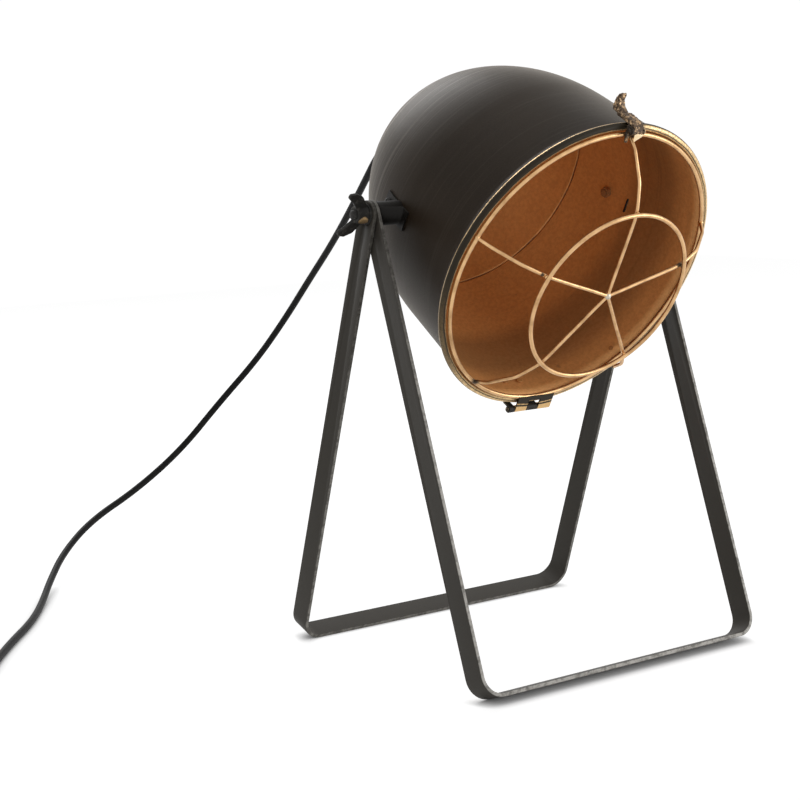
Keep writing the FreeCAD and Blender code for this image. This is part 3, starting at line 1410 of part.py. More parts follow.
def switch_cover():
    cover = switch_block(SWITCH_BASE_HEIGHT + FACE_GAP, SWITCH_HEIGHT, 0)
    top = [edge for edge in cover.Edges if edge.BoundBox.ZMin > SWITCH_HEIGHT - 0.01]
    cover = cover.makeFillet(SWITCH_TOP_ROUND, top)
    cover = cover.cut(switch_block(0, SWITCH_HEIGHT - SWITCH_WALL, SWITCH_WALL))
    for post in switch_posts(SWITCH_BASE_HEIGHT + FACE_GAP, SWITCH_HEIGHT - SWITCH_WALL):
        axis = Vec(post.BoundBox.Center.x, post.BoundBox.Center.y, 0)
        cover = cover.fuse(post)
        cover = cover.cut(cylinder(SWITCH_SCREW_DIAMETER / 2 + PIN_FIT, SWITCH_SCREW_HOLE, axis, Z_AXIS))
    length = ROCKER_LENGTH / 2 + ROCKER_CLEARANCE
    width = ROCKER_WIDTH / 2 + ROCKER_CLEARANCE
    outer = SWITCH_COLLAR_WALL
    foot = ROCKER_PIN_HEIGHT - SWITCH_COLLAR_DEPTH
    top = SWITCH_HEIGHT - SWITCH_WALL / 2
    collar = box(-length - outer, length + outer, -width - outer, width + outer, foot, top)
    cover = cover.fuse(collar)
    cover = cover.cut(box(-length, length, -width, width, foot - THROUGH, SWITCH_HEIGHT + THROUGH))
    bore = ROCKER_PIN_DIAMETER / 2 + ROCKER_PIN_CLEARANCE
    reach = width + SWITCH_COLLAR_WALL - SLIT_CLEARANCE
    cover = cover.cut(cylinder(bore, 2 * reach, Vec(0, -reach, ROCKER_PIN_HEIGHT), Y_AXIS))
    return cover.cut(cord_channels()).removeSplitter()


def switch_rocker():
    """Two-faced rocker with its pivot pins, at rest in the off position."""
    half = ROCKER_LENGTH / 2
    z = ROCKER_PIN_HEIGHT
    rise = math.tan(math.radians(ROCKER_TILT))
    side_top = z + ROCKER_TOP + half * rise
    outline = [
        Vec(-half * 0.55, 0, z - ROCKER_FOOT),
        Vec(half * 0.55, 0, z - ROCKER_FOOT),
        Vec(half - 0.9, 0, z + 0.6),
        Vec(half - 0.5, 0, side_top),
        Vec(0, 0, z + ROCKER_TOP),
        Vec(-half + 0.5, 0, side_top),
        Vec(-half + 0.9, 0, z + 0.6),
    ]
    rocker = prism(outline, Vec(0, ROCKER_WIDTH, 0))
    rocker.translate(Vec(0, -ROCKER_WIDTH / 2, 0))
    tops = [
        edge
        for edge in rocker.Edges
        if edge.BoundBox.ZMin > z + ROCKER_TOP - 0.2 and edge.BoundBox.YLength < 0.1
    ]
    rocker = rocker.makeFillet(ROCKER_EDGE_ROUND, tops)
    pin_half = ROCKER_WIDTH / 2 + ROCKER_CLEARANCE + ROCKER_PIN_REACH
    rocker = rocker.fuse(cylinder(ROCKER_PIN_DIAMETER / 2, 2 * pin_half, Vec(0, -pin_half, z), Y_AXIS))
    rocker.rotate(Vec(0, 0, z), Y_AXIS, -ROCKER_TILT)
    return rocker


def switch_screws():
    screws = []
    for post in switch_posts(0, 1):
        axis = post.BoundBox.Center
        start = Vec(axis.x, axis.y, SWITCH_SCREW_SINK)
        head = cylinder(SWITCH_SCREW_HEAD / 2, SWITCH_SCREW_HEAD_HEIGHT, start, Z_AXIS)
        shank = cylinder(SWITCH_SCREW_DIAMETER / 2, SWITCH_SCREW_LENGTH, start, Z_AXIS)
        screws.append(head.fuse(shank).removeSplitter())
    return group(screws)


def switch_contacts():
    """Two terminal blocks on the floor of the base."""
    length = TERMINAL_BLOCK_LENGTH / 2
    width = TERMINAL_BLOCK_WIDTH / 2
    top = SWITCH_FLOOR + TERMINAL_BLOCK_HEIGHT
    return group(
        [
            box(x - length, x + length, -width, width, SWITCH_FLOOR, top)
            for x in (-TERMINAL_BLOCK_SPACING / 2, TERMINAL_BLOCK_SPACING / 2)
        ]
    )


def add_switch():
    for name, shape in (
        ("switch_base", switch_base()),
        ("switch_cover", switch_cover()),
        ("switch_rocker", switch_rocker()),
        ("switch_screws", switch_screws()),
        ("switch_contacts", switch_contacts()),
    ):
        placed = shape.copy()
        placed.Placement = switch_frame().multiply(placed.Placement)
        add(name, placed)


# ---------------------------------------------------------------- the whole lamp
def main():
    add("front_frame", strap_frame(FRONT_WIDTH, FRONT_SPLAY, -1))
    add("rear_frame", strap_frame(STAND_WIDTH, REAR_SPLAY, 1))
    crown, barrel = shade_pieces()
    add_on_axis("shade_crown", crown)
    add_on_axis("shade_barrel", barrel)
    add_on_axis("rim_knob", rim_knob())
    add_pivots()
    add_guard()
    add_latch()
    add_hinge()
    add_lampholder()
    add_cord()
    add_coil_and_plug(COIL_ALONG + COIL_MIDDLE_RADIUS)
    add_switch()
    os.makedirs("parts", exist_ok=True)
    for name, shape in nodes.items():
        solids = shape.Solids
        if not shape.isValid() or not solids or min(solid.Volume for solid in solids) <= 0:
            print("check the shape of", name)
        shape.exportStep("parts/%s.step" % name)
    whole = Part.Compound([shape for name, shape in nodes.items() if not name.startswith(("cord_", "plug_"))])
    print(len(nodes), "nodes; pivot y %.4f" % PIVOT_Y, whole.BoundBox)
    print("boot end", boot_end(), "coil", from_switch(COIL_ALONG, COIL_ASIDE, 0))


main()
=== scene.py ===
"""Looks of a tabletop searchlight lamp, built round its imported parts.

Lengths are metres. +Z is up, the opening of the head faces -Y and the table is z = 0.
"""
import json
import logging
import math
from contextlib import contextmanager
from dataclasses import dataclass
from enum import Enum
from typing import Any, Callable, Dict, Iterator, List, Optional, Sequence, Tuple

import bmesh
import bpy
from mathutils import Matrix, Vector

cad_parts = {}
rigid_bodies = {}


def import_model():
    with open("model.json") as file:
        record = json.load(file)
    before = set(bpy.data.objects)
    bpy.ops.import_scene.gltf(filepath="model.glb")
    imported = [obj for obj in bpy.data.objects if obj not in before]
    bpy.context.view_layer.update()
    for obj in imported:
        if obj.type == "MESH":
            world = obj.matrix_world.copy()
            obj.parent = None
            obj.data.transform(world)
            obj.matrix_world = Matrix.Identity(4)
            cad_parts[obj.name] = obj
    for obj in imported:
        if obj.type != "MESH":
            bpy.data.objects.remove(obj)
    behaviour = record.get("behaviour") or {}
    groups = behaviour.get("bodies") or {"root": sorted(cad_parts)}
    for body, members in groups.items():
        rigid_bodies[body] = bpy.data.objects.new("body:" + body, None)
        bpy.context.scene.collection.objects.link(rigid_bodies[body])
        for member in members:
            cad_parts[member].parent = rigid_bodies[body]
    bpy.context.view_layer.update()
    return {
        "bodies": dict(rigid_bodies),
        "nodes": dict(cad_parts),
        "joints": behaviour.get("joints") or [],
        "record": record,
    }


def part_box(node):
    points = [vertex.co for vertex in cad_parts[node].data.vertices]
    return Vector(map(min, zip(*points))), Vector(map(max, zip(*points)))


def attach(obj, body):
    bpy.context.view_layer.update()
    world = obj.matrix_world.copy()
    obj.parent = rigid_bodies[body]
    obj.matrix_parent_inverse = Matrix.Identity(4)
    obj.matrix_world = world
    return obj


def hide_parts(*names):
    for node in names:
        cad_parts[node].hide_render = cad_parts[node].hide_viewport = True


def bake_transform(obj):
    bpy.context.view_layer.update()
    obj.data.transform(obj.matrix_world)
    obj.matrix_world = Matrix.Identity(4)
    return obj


LOG = logging.getLogger("searchlight")
MM = 0.001
TURN = 2 * math.pi
MERGE = 1e-6
FINE_MERGE = 1e-7
WHITE = (1.0, 1.0, 1.0, 1.0)
Colour = Tuple[float, float, float]
Point = Tuple[float, float, float]


# ---------------------------------------------------------------- node expressions
def math_method(operation: str, flipped: bool = False) -> Callable[..., "Field"]:
    """Makes a method of Field that adds one Math node.

    Args:
        operation: The node's operation.
        flipped: Whether the other value comes first.

    Returns:
        The method.
    """

    def method(self: "Field", *others: Any) -> "Field":
        """Adds the node on this field and the other values, and gives its result."""
        values = (*others, self) if flipped else (self, *others)
        made = self.sheet.node("ShaderNodeMath", dict(enumerate(values)), operation=operation)
        return Field(self.sheet, made.outputs[0])

    return method


class Field:
    """A number that a node tree works out. A sum written on it adds the Math nodes it needs.

    most is the larger of two, whole the whole part, remainder what a division leaves, and angle_to
    the angle whose tangent is self / other. Angles are in radians.
    """

    def __init__(self, sheet: "NodeSheet", socket: bpy.types.NodeSocket) -> None:
        """Wraps one output socket of a sheet."""
        self.sheet = sheet
        self.socket = socket

    __add__ = __radd__ = math_method("ADD")
    __sub__ = math_method("SUBTRACT")
    __rsub__ = math_method("SUBTRACT", flipped=True)
    __mul__ = __rmul__ = math_method("MULTIPLY")
    __truediv__ = math_method("DIVIDE")
    __abs__ = math_method("ABSOLUTE")
    power = math_method("POWER")
    root = math_method("SQRT")
    sine = math_method("SINE")
    cosine = math_method("COSINE")
    whole = math_method("FLOOR")
    remainder = math_method("MODULO")
    angle_to = math_method("ARCTAN2")
    most = math_method("MAXIMUM")

    def step(self, low: float, high: float) -> "Field":
        """A smooth rise from 0 at low to 1 at high, or a fall where high is below low.

        Args:
            low: The value at which it is 0.
            high: The value at which it is 1.

        Returns:
            The rise.
        """
        ends = (low, high, 0.0, 1.0) if low < high else (high, low, 1.0, 0.0)
        values = dict(zip(("From Min", "From Max", "To Min", "To Max"), ends))
        made = self.sheet.node(
            "ShaderNodeMapRange", {"Value": self, **values}, interpolation_type="SMOOTHSTEP"
        )
        return Field(self.sheet, made.outputs["Result"])

    def band(self, middle: float, half: float, soft: float) -> "Field":
        """1 within half of the middle, fading to 0 over a soft edge."""
        return abs(self - middle).step(half + soft, half)


class NodeSheet:
    """Adds nodes to one tree, for a material, the world or geometry."""

    def __init__(self, tree: bpy.types.NodeTree) -> None:
        """Starts on a tree."""
        self.tree = tree

    def node(
        self, kind: str, values: Optional[Dict[Any, Any]] = None, **settings: Any
    ) -> bpy.types.Node:
        """Adds a node.

        Args:
            kind: The node's type.
            values: Its inputs by name or index: fields, sockets and nodes are linked, others set.
            settings: Its attributes, set first.

        Returns:
            The node.
        """
        made = self.tree.nodes.new(kind)
        for name, value in settings.items():
            setattr(made, name, value)
        for key, value in (values or {}).items():
            self.connect(value, made.inputs[key])
        return made

    def connect(self, value: Any, socket: bpy.types.NodeSocket) -> None:
        """Links an input, or sets its own value.

        Args:
            value: A field, a socket, a node whose first output is meant, or a plain value.
            socket: The input.
        """
        if isinstance(value, bpy.types.Node):
            value = value.outputs[0]
        if isinstance(value, Field):
            value = value.socket
        if isinstance(value, bpy.types.NodeSocket):
            self.tree.links.new(value, socket)
        elif isinstance(value, tuple) and len(value) == 3 and socket.type == "RGBA":
            socket.default_value = (*value, 1.0)
        else:
            socket.default_value = value

    def vector(self, operation: str, first: Any, second: Any) -> bpy.types.NodeSocket:
        """A Vector Math node's vector, from two vectors."""
        return self.node("ShaderNodeVectorMath", {0: first, 1: second}, operation=operation).outputs[0]

    def scaled(self, vector: Any, factor: Any) -> bpy.types.NodeSocket:
        """A vector times a number."""
        return self.node("ShaderNodeVectorMath", {0: vector, "Scale": factor}, operation="SCALE").outputs[0]

    def dot(self, vector: Any, way: Sequence[float]) -> Field:
        """How far a vector reaches along a direction."""
        made = self.node("ShaderNodeVectorMath", {0: vector, 1: tuple(way)}, operation="DOT_PRODUCT")
        return Field(self, made.outputs["Value"])

    def length(self, vector: Any) -> Field:
        """Length of a vector."""
        made = self.node("ShaderNodeVectorMath", {0: vector}, operation="LENGTH")
        return Field(self, made.outputs["Value"])

    def joined(self, x: Any, y: Any, z: Any) -> bpy.types.NodeSocket:
        """A vector from three numbers."""
        return self.node("ShaderNodeCombineXYZ", {0: x, 1: y, 2: z}).outputs[0]


@dataclass(frozen=True)
class Grain:
    """Soft noise: its grains per metre, its number of finer layers and their strength."""

    scale: float
    detail: float = 2.0
    rough: float = 0.5


class ShaderSheet(NodeSheet):
    """The node tree of one material."""

    def __init__(self, name: str) -> None:
        """Starts an empty material.

        Args:
            name: The material's name.
        """
        self.material = bpy.data.materials.new(name)
        self.material.use_nodes = True
        super().__init__(self.material.node_tree)
        self.tree.nodes.clear()
        self.place = self.node("ShaderNodeTexCoord").outputs["Object"]

    def noise(self, grain: Grain, at: Any = None) -> Field:
        """Soft cloudy noise, from 0 to 1.

        Args:
            grain: How coarse it is.
            at: Where it is read, the object's own place if not given.

        Returns:
            The noise.
        """
        values = {
            "Vector": at or self.place,
            "Scale": grain.scale,
            "Detail": grain.detail,
            "Roughness": grain.rough,
        }
        return Field(self, self.node("ShaderNodeTexNoise", values).outputs[0])

    def streaks(self, way: Sequence[float], fine: float, along: float) -> Field:
        """Noise that is drawn out at right angles to a direction.

        Args:
            way: The direction across the streaks.
            fine: Grains per metre along that direction.
            along: Grains per metre on the other two.

        Returns:
            The noise.
        """
        stretch = tuple(part * (fine - along) for part in way)
        lifted = self.scaled(stretch, self.dot(self.place, way))
        return self.noise(Grain(1.0), self.vector("ADD", self.scaled(self.place, along), lifted))

    def on_head(self, head: "Head") -> Tuple[Field, Field, Field, Field]:
        """Where a point lies on the head.

        Args:
            head: The head's axes.

        Returns:
            Its place across, up and along the head's axis, and how far it is from that axis.
        """
        local = self.vector("SUBTRACT", self.place, tuple(head.middle))
        x, up, out = (self.dot(local, way) for way in (head.across, head.up, head.out))
        return x, up, out, (x * x + up * up).root()

    def spun(self, head: "Head", fine: float, along: float) -> Field:
        """Noise drawn out round the head's axis, as evenly spaced on the crown as on the wall.

        Args:
            head: The head's axes.
            fine: Grains per metre from the crown to the rim.
            along: Grains per metre round the axis.

        Returns:
            The noise.
        """
        x, up, out, radius = self.on_head(head)
        return self.noise(Grain(1.0), self.joined(x * along, up * along, (out + radius) * fine))

    def blend(self, factor: Any, first: Any, second: Any) -> bpy.types.NodeSocket:
        """A mix of two colours: the first at 0, the second at 1."""
        colours = {"Factor": factor, 6: first, 7: second}
        return self.node("ShaderNodeMix", colours, data_type="RGBA").outputs[2]

    def bump(self, height: Field, depth: float, under: Any = None) -> bpy.types.NodeSocket:
        """A bumped normal.

        Args:
            height: From 0 to 1.
            depth: How high 1 stands, in metres.
            under: A normal that this bump lies on.

        Returns:
            The normal.
        """
        values = {"Height": height, "Distance": depth, "Strength": 1.0}
        if under is not None:
            values["Normal"] = under
        return self.node("ShaderNodeBump", values).outputs[0]

    def finish(
        self, colour: Any, rough: Any, normal: Any, metal: Any = 0.0, **constants: Any
    ) -> bpy.types.Material:
        """Ends the tree in one Principled shader.

        Args:
            colour: The base colour.
            rough: The roughness.
            normal: The bumped normal.
            metal: How metallic it is.
            constants: Other inputs that are the same all over, named with _ for each space.

        Returns:
            The material.
        """
        values = {"Base Color": colour, "Roughness": rough, "Metallic": metal, "Normal": normal}
        values.update((name.replace("_", " "), value) for name, value in constants.items())
        shader = self.node("ShaderNodeBsdfPrincipled", values)
        self.node("ShaderNodeOutputMaterial", {"Surface": shader})
        return self.material


class GeometrySheet(NodeSheet):
    """A geometry node tree that turns a base mesh into a finished shape."""

    def __init__(self, name: str, **inputs: str) -> None:
        """Starts a tree.

        Args:
            name: The tree's name.
            inputs: The kind of each named input, named with _ for each space.
        """
        tree = bpy.data.node_groups.new(name, "GeometryNodeTree")
        kinds = {"Base": "Geometry", **inputs, "Material": "Material"}
        for label, kind in kinds.items():
            tree.interface.new_socket(
                label.replace("_", " "), in_out="INPUT", socket_type="NodeSocket" + kind
            )
        tree.interface.new_socket("Shape", in_out="OUTPUT", socket_type="NodeSocketGeometry")
        super().__init__(tree)
        self.source = self.node("NodeGroupInput")
        self.base = self.source.outputs["Base"]

    def given(self, label: str) -> Field:
        """One of the named inputs."""
        return Field(self, self.source.outputs[label])

    def read(self, kind: str) -> Field:
        """A number that the geometry holds, such as an index."""
        return Field(self, self.node(kind).outputs[0])

    def shifted(self, shape: bpy.types.Node, scale: float, reach: Field) -> bpy.types.Node:
        """Moves every point a little, by noise.

        Args:
            shape: The geometry.
            scale: The noise's grains per metre.
            reach: How strong the noise is.

        Returns:
            The node that moves the points.
        """
        place = self.node("GeometryNodeInputPosition")
        noise = self.node("ShaderNodeTexNoise", {"Vector": place, "Scale": scale})
        middle = self.vector("SUBTRACT", noise.outputs["Color"], (0.5, 0.5, 0.5))
        return self.node("GeometryNodeSetPosition", {0: shape, "Offset": self.scaled(middle, reach)})

    def swept(self, line: bpy.types.Node, sides: Any, radius: Any) -> bpy.types.Node:
        """Sweeps a round section along a line.

        Args:
            line: The line.
            sides: Number of sides of the section.
            radius: The section's radius.

        Returns:
            The node that sweeps it.
        """
        ring = self.node("GeometryNodeCurvePrimitiveCircle", {"Resolution": sides, "Radius": radius})
        return self.node(
            "GeometryNodeCurveToMesh", {"Curve": line, "Profile Curve": ring, "Fill Caps": True}
        )

    def wrap(self, segments: Field, rows: Field, radius: Field, turn: Field, height: Any) -> None:
        """Ends the tree in a grid that goes once round the Z axis.

        Args:
            segments: Number of steps round the axis.
            rows: Number of points in each column.
            radius: Each point's distance from the axis.
            turn: Each point's share of a whole turn.
            height: Each point's height.
        """
        grid = self.node("GeometryNodeMeshGrid", {"Vertices X": segments + 1.0, "Vertices Y": rows})
        angle = turn * TURN
        place = self.joined(radius * angle.cosine(), radius * angle.sine(), height)
        moved = self.node("GeometryNodeSetPosition", {"Geometry": grid, "Position": place})
        self.finish(self.node("GeometryNodeMergeByDistance", {"Geometry": moved, "Distance": MERGE}))

    def finish(self, shape: bpy.types.Node) -> None:
        """Ends the tree: smooth faces, real copies and the material.

        Args:
            shape: The node that makes the shape.
        """
        smooth = self.node("GeometryNodeSetShadeSmooth", {"Geometry": shape})
        real = self.node("GeometryNodeRealizeInstances", {0: smooth})
        material = self.source.outputs["Material"]
        dressed = self.node("GeometryNodeSetMaterial", {0: real, "Material": material})
        self.node("NodeGroupOutput", {0: dressed})

    def shape(
        self, name: str, points: Sequence[Sequence[float]], closed: bool = False, **values: Any
    ) -> bpy.types.Object:
        """Runs the tree on a line of points and keeps the result as a plain mesh.

        Args:
            name: Name of the new object.
            points: The points that the tree starts from, joined in order.
            closed: Whether the last point is joined to the first.
            values: The tree's named inputs, named with _ for each space.

        Returns:
            An object at the origin with the finished mesh.
        """
        holder = new_object(name + "_base", line_mesh(name + "_line", points, closed))
        modifier = holder.modifiers.new("tree", "NODES")
        modifier.node_group = self.tree
        for item in self.tree.interface.items_tree:
            label = item.name.replace(" ", "_")
            if item.in_out == "INPUT" and label in values:
                modifier[item.identifier] = values[label]
        mesh = plain_mesh(holder)
        bpy.data.objects.remove(holder)
        return new_object(name, mesh)


# ---------------------------------------------------------------- mesh helpers
def new_object(name: str, data: bpy.types.ID) -> bpy.types.Object:
    """Makes an object of some data and links it to the scene.

    Args:
        name: Its name.
        data: Its mesh, curve, camera or light.

    Returns:
        The object, at the origin.
    """
    made = bpy.data.objects.new(name, data)
    bpy.context.scene.collection.objects.link(made)
    return made


def plain_mesh(source: bpy.types.Object) -> bpy.types.Mesh:
    """The evaluated shape of an object as a mesh of its own."""
    graph = bpy.context.evaluated_depsgraph_get()
    return bpy.data.meshes.new_from_object(source.evaluated_get(graph), depsgraph=graph)


def apply_modifiers(target: bpy.types.Object) -> None:
    """Replaces an object's mesh by its evaluated one and takes its modifiers off.

    Args:
        target: The object.
    """
    mesh = plain_mesh(target)
    target.modifiers.clear()
    target.data = mesh


def line_mesh(name: str, points: Sequence[Sequence[float]], closed: bool) -> bpy.types.Mesh:
    """A mesh of points joined by edges, in order.

    Args:
        name: Its name.
        points: The points.
        closed: Whether the last is joined to the first.

    Returns:
        The mesh.
    """
    edges = [(index, index + 1) for index in range(len(points) - 1)]
    if closed:
        edges.append((len(points) - 1, 0))
    mesh = bpy.data.meshes.new(name)
    mesh.from_pydata([tuple(point) for point in points], edges, [])
    return mesh


@contextmanager
def edited(target: bpy.types.Object) -> Iterator[bmesh.types.BMesh]:
    """Opens an object's mesh for editing and writes it back.

    Args:
        target: The object.

    Yields:
        The mesh while it is edited.
    """
    work = bmesh.new()
    work.from_mesh(target.data)
    yield work
    work.to_mesh(target.data)
    work.free()


def settle_normals(target: bpy.types.Object, merge: float = MERGE) -> None:
    """Merges doubles and turns every face outwards.

    Args:
        target: The object.
        merge: How near two points are to be one.
    """
    with edited(target) as work:
        bmesh.ops.remove_doubles(work, verts=work.verts, dist=merge)
        bmesh.ops.recalc_face_normals(work, faces=work.faces)


def close_ends(target: bpy.types.Object) -> None:
    """Closes the open ends of a tube with flat faces.

    Args:
        target: The tube.
    """
    with edited(target) as work:
        bmesh.ops.remove_doubles(work, verts=work.verts, dist=MERGE)
        open_edges = [edge for edge in work.edges if edge.is_boundary]
        bmesh.ops.holes_fill(work, edges=open_edges, sides=0)


def dress(target: bpy.types.Object, *materials: bpy.types.Material) -> None:
    """Gives an object its materials.

    Args:
        target: The object.
        materials: Its materials, in the order of its slots.
    """
    target.data.materials.clear()
    for material in materials:
        target.data.materials.append(material)


def paint_inside(
    target: bpy.types.Object, head: "Head", radius: float, material: bpy.types.Material
) -> None:
    """Gives the faces that lie inside the shade a finish of their own.

    Args:
        target: A piece that goes through the shade's wall.
        head: The head's axes.
        radius: How far from the axis the inside reaches.
        material: The finish inside.
    """
    target.data.materials.append(material)
    for face in target.data.polygons:
        place = face.center - head.middle
        if math.hypot(place.dot(head.across), place.dot(head.up)) < radius:
            face.material_index = len(target.data.materials) - 1


def arc_points(points: Sequence[Vector], radii: Sequence[float], step: float) -> List[Vector]:
    """Straight runs joined by arcs, as points.

    Args:
        points: Corners of the route.
        radii: Bend radius at each inner corner.
        step: Largest turn from one point to the next on an arc, in radians.

    Returns:
        The points of the bent route.
    """
    route = [points[0]]
    for index in range(1, len(points) - 1):
        corner = points[index]
        back = (points[index - 1] - corner).normalized()
        ahead = (points[index + 1] - corner).normalized()
        turn = math.pi - back.angle(ahead)
        cut = radii[index - 1] * math.tan(turn / 2)
        middle = corner + (back + ahead).normalized() * (radii[index - 1] / math.cos(turn / 2))
        start = corner + back * cut - middle
        axis = start.cross(corner + ahead * cut - middle).normalized()
        count = max(2, math.ceil(turn / step))
        for part in range(count + 1):
            route.append(middle + Matrix.Rotation(turn * part / count, 3, axis) @ start)
    route.append(points[-1])
    return route


# ---------------------------------------------------------------- where the head is
@dataclass(frozen=True)
class Head:
    """The head's own axes: x across, up in the plane of the opening, out along its axis."""

    middle: Vector
    across: Vector
    up: Vector
    out: Vector

    @classmethod
    def from_record(cls, record: Dict[str, Any]) -> "Head":
        """Finds the head's axes from the lamp socket and the tilt joint.

        Args:
            record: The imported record.

        Returns:
            The axes, with the middle level with the pivots.
        """
        joints = record["behaviour"]["joints"]
        socket = next(mount for mount in record["mounts"] if mount["name"] == "bulb_socket")
        pivot = Vector(next(joint for joint in joints if joint["name"] == "head_tilt")["pos_m"])
        out = Vector(socket["axis"]).normalized()
        across = Vector((1, 0, 0))
        start = Vector(socket["pos_m"])
        return cls(start + out * (pivot - start).dot(out), across, out.cross(across), out)

    def point(self, x: float, up: float, out: float) -> Vector:
        """A point of the head in the lamp's frame."""
        return self.middle + self.across * x + self.up * up + self.out * out

    def matrix(self) -> Matrix:
        """Places a shape that was drawn round the Z axis."""
        turn = Matrix((self.across, self.up, self.out)).transposed()
        return Matrix.Translation(self.middle) @ turn.to_4x4()

    def lowest(self, node: bpy.types.Object) -> float:
        """Where a node starts along the head's axis, nearest the crown."""
        return min((Vector(vertex.co) - self.middle).dot(self.out) for vertex in node.data.vertices)

    def highest(self, node: bpy.types.Object) -> float:
        """Where a node ends along the head's axis, nearest the opening."""
        return max((Vector(vertex.co) - self.middle).dot(self.out) for vertex in node.data.vertices)


# ---------------------------------------------------------------- finishes
@dataclass(frozen=True)
class BarCoat:
    """Powder coat on flat bar: fine grain, the coat rubbed thin along the edges, and pale steel painted on
    the thin faces: a painted highlight, partly bare steel.
    """

    name: str
    pivot: Vector
    splay: float
    # bare: the share of painted highlight and bare steel on the thin faces.
    bare: float
    colour: Colour = (0.0355, 0.0310, 0.0245)
    rubbed: Colour = (0.13, 0.12, 0.10)
    # steel: the pale colour of the painted highlight on the thin faces, and of bare steel.
    steel: Colour = (0.56, 0.54, 0.50)
    half_width: float = 9.0 * MM
    lighter: float = 1.55
    skin: Grain = Grain(2600.0, 3.0, 0.6)
    clouds: Grain = Grain(22.0, 3.0, 0.55)
    chips: Grain = Grain(260.0, 3.0, 0.65)

    def material(self) -> bpy.types.Material:
        """Builds the material.

        Returns:
            The material.
        """
        sheet = ShaderSheet(self.name)
        local = sheet.vector("SUBTRACT", sheet.place, tuple(self.pivot))
        across = sheet.dot(local, (0.0, math.cos(self.splay), math.sin(self.splay)))
        along = sheet.dot(local, (0.0, -math.sin(self.splay), math.cos(self.splay)))
        beyond = along.most(0.0)
        edge = (across * across + beyond * beyond).root()
        grain, cloud, wear = (sheet.noise(kind) for kind in (self.skin, self.clouds, self.chips))
        rub = edge.step(self.half_width - 0.9 * MM, self.half_width - 0.1 * MM) * wear.step(0.42, 0.66)
        # thin marks the thin faces; steel paints a pale highlight on them, partly bare steel, stronger
        # towards the feet (low) and broken up by wear.
        thin = edge.step(self.half_width - 0.2 * MM, self.half_width - 0.05 * MM)
        low = along.step(-60.0 * MM, -170.0 * MM)
        steel = thin * (wear.step(0.3, 0.6) * 0.65 + 0.35) * (low * 0.65 + 0.35) * self.bare
        pale = tuple(self.lighter * part for part in self.colour)
        base = sheet.blend(cloud * 0.5 + grain * 0.25, self.colour, pale)
        return sheet.finish(
            sheet.blend(steel, sheet.blend(rub * 0.6, base, self.rubbed), self.steel),
            0.5 + cloud * 0.14 - rub * 0.16,
            sheet.bump(grain, 0.05 * MM),
            Specular_IOR_Level=0.24,
        )


@dataclass(frozen=True)
class SpunEnamel:
    """Matt dark enamel on a spun dome: rings left by the spinning and pale scuffs between them."""

    head: Head
    colour: Colour = (0.0098, 0.0050, 0.0020)
    cloud: Colour = (0.0245, 0.0148, 0.0080)
    scuff: Colour = (0.190, 0.160, 0.130)
    rings: Tuple[float, float] = (420.0, 6.0)
    wide_rings: Tuple[float, float] = (80.0, 11.0)
    patches: Grain = Grain(14.0, 4.0, 0.6)
    skin: Grain = Grain(1500.0, 3.0, 0.7)

    def material(self) -> bpy.types.Material:
        """Builds the material.

        Returns:
            The material.
        """
        sheet = ShaderSheet("spun_enamel")
        out = sheet.on_head(self.head)[2]
        rings, broad = (sheet.spun(self.head, *spacing) for spacing in (self.rings, self.wide_rings))
        patches, grain = sheet.noise(self.patches), sheet.noise(self.skin)
        crown = out.step(-5.0 * MM, -70.0 * MM)
        scuffs = rings.step(0.52, 0.66) * (broad.step(0.40, 0.58) * 0.8 + 0.2) * (0.06 + crown * 0.94)
        mottle = patches.step(0.3, 0.72) * 0.5 + grain.step(0.46, 0.66) * 0.5
        return sheet.finish(
            sheet.blend(scuffs * 0.7, sheet.blend(mottle, self.colour, self.cloud), self.scuff),
            0.42 + patches * 0.10 - scuffs * 0.06,
            sheet.bump(grain, 0.05 * MM, sheet.bump(rings, 0.02 * MM)),
            Specular_IOR_Level=0.12,
            Specular_Tint=(1.0, 0.88, 0.72, 1.0),
            Sheen_Weight=0.30,
            Sheen_Roughness=0.30,
            Sheen_Tint=(1.0, 0.90, 0.76, 1.0),
        )


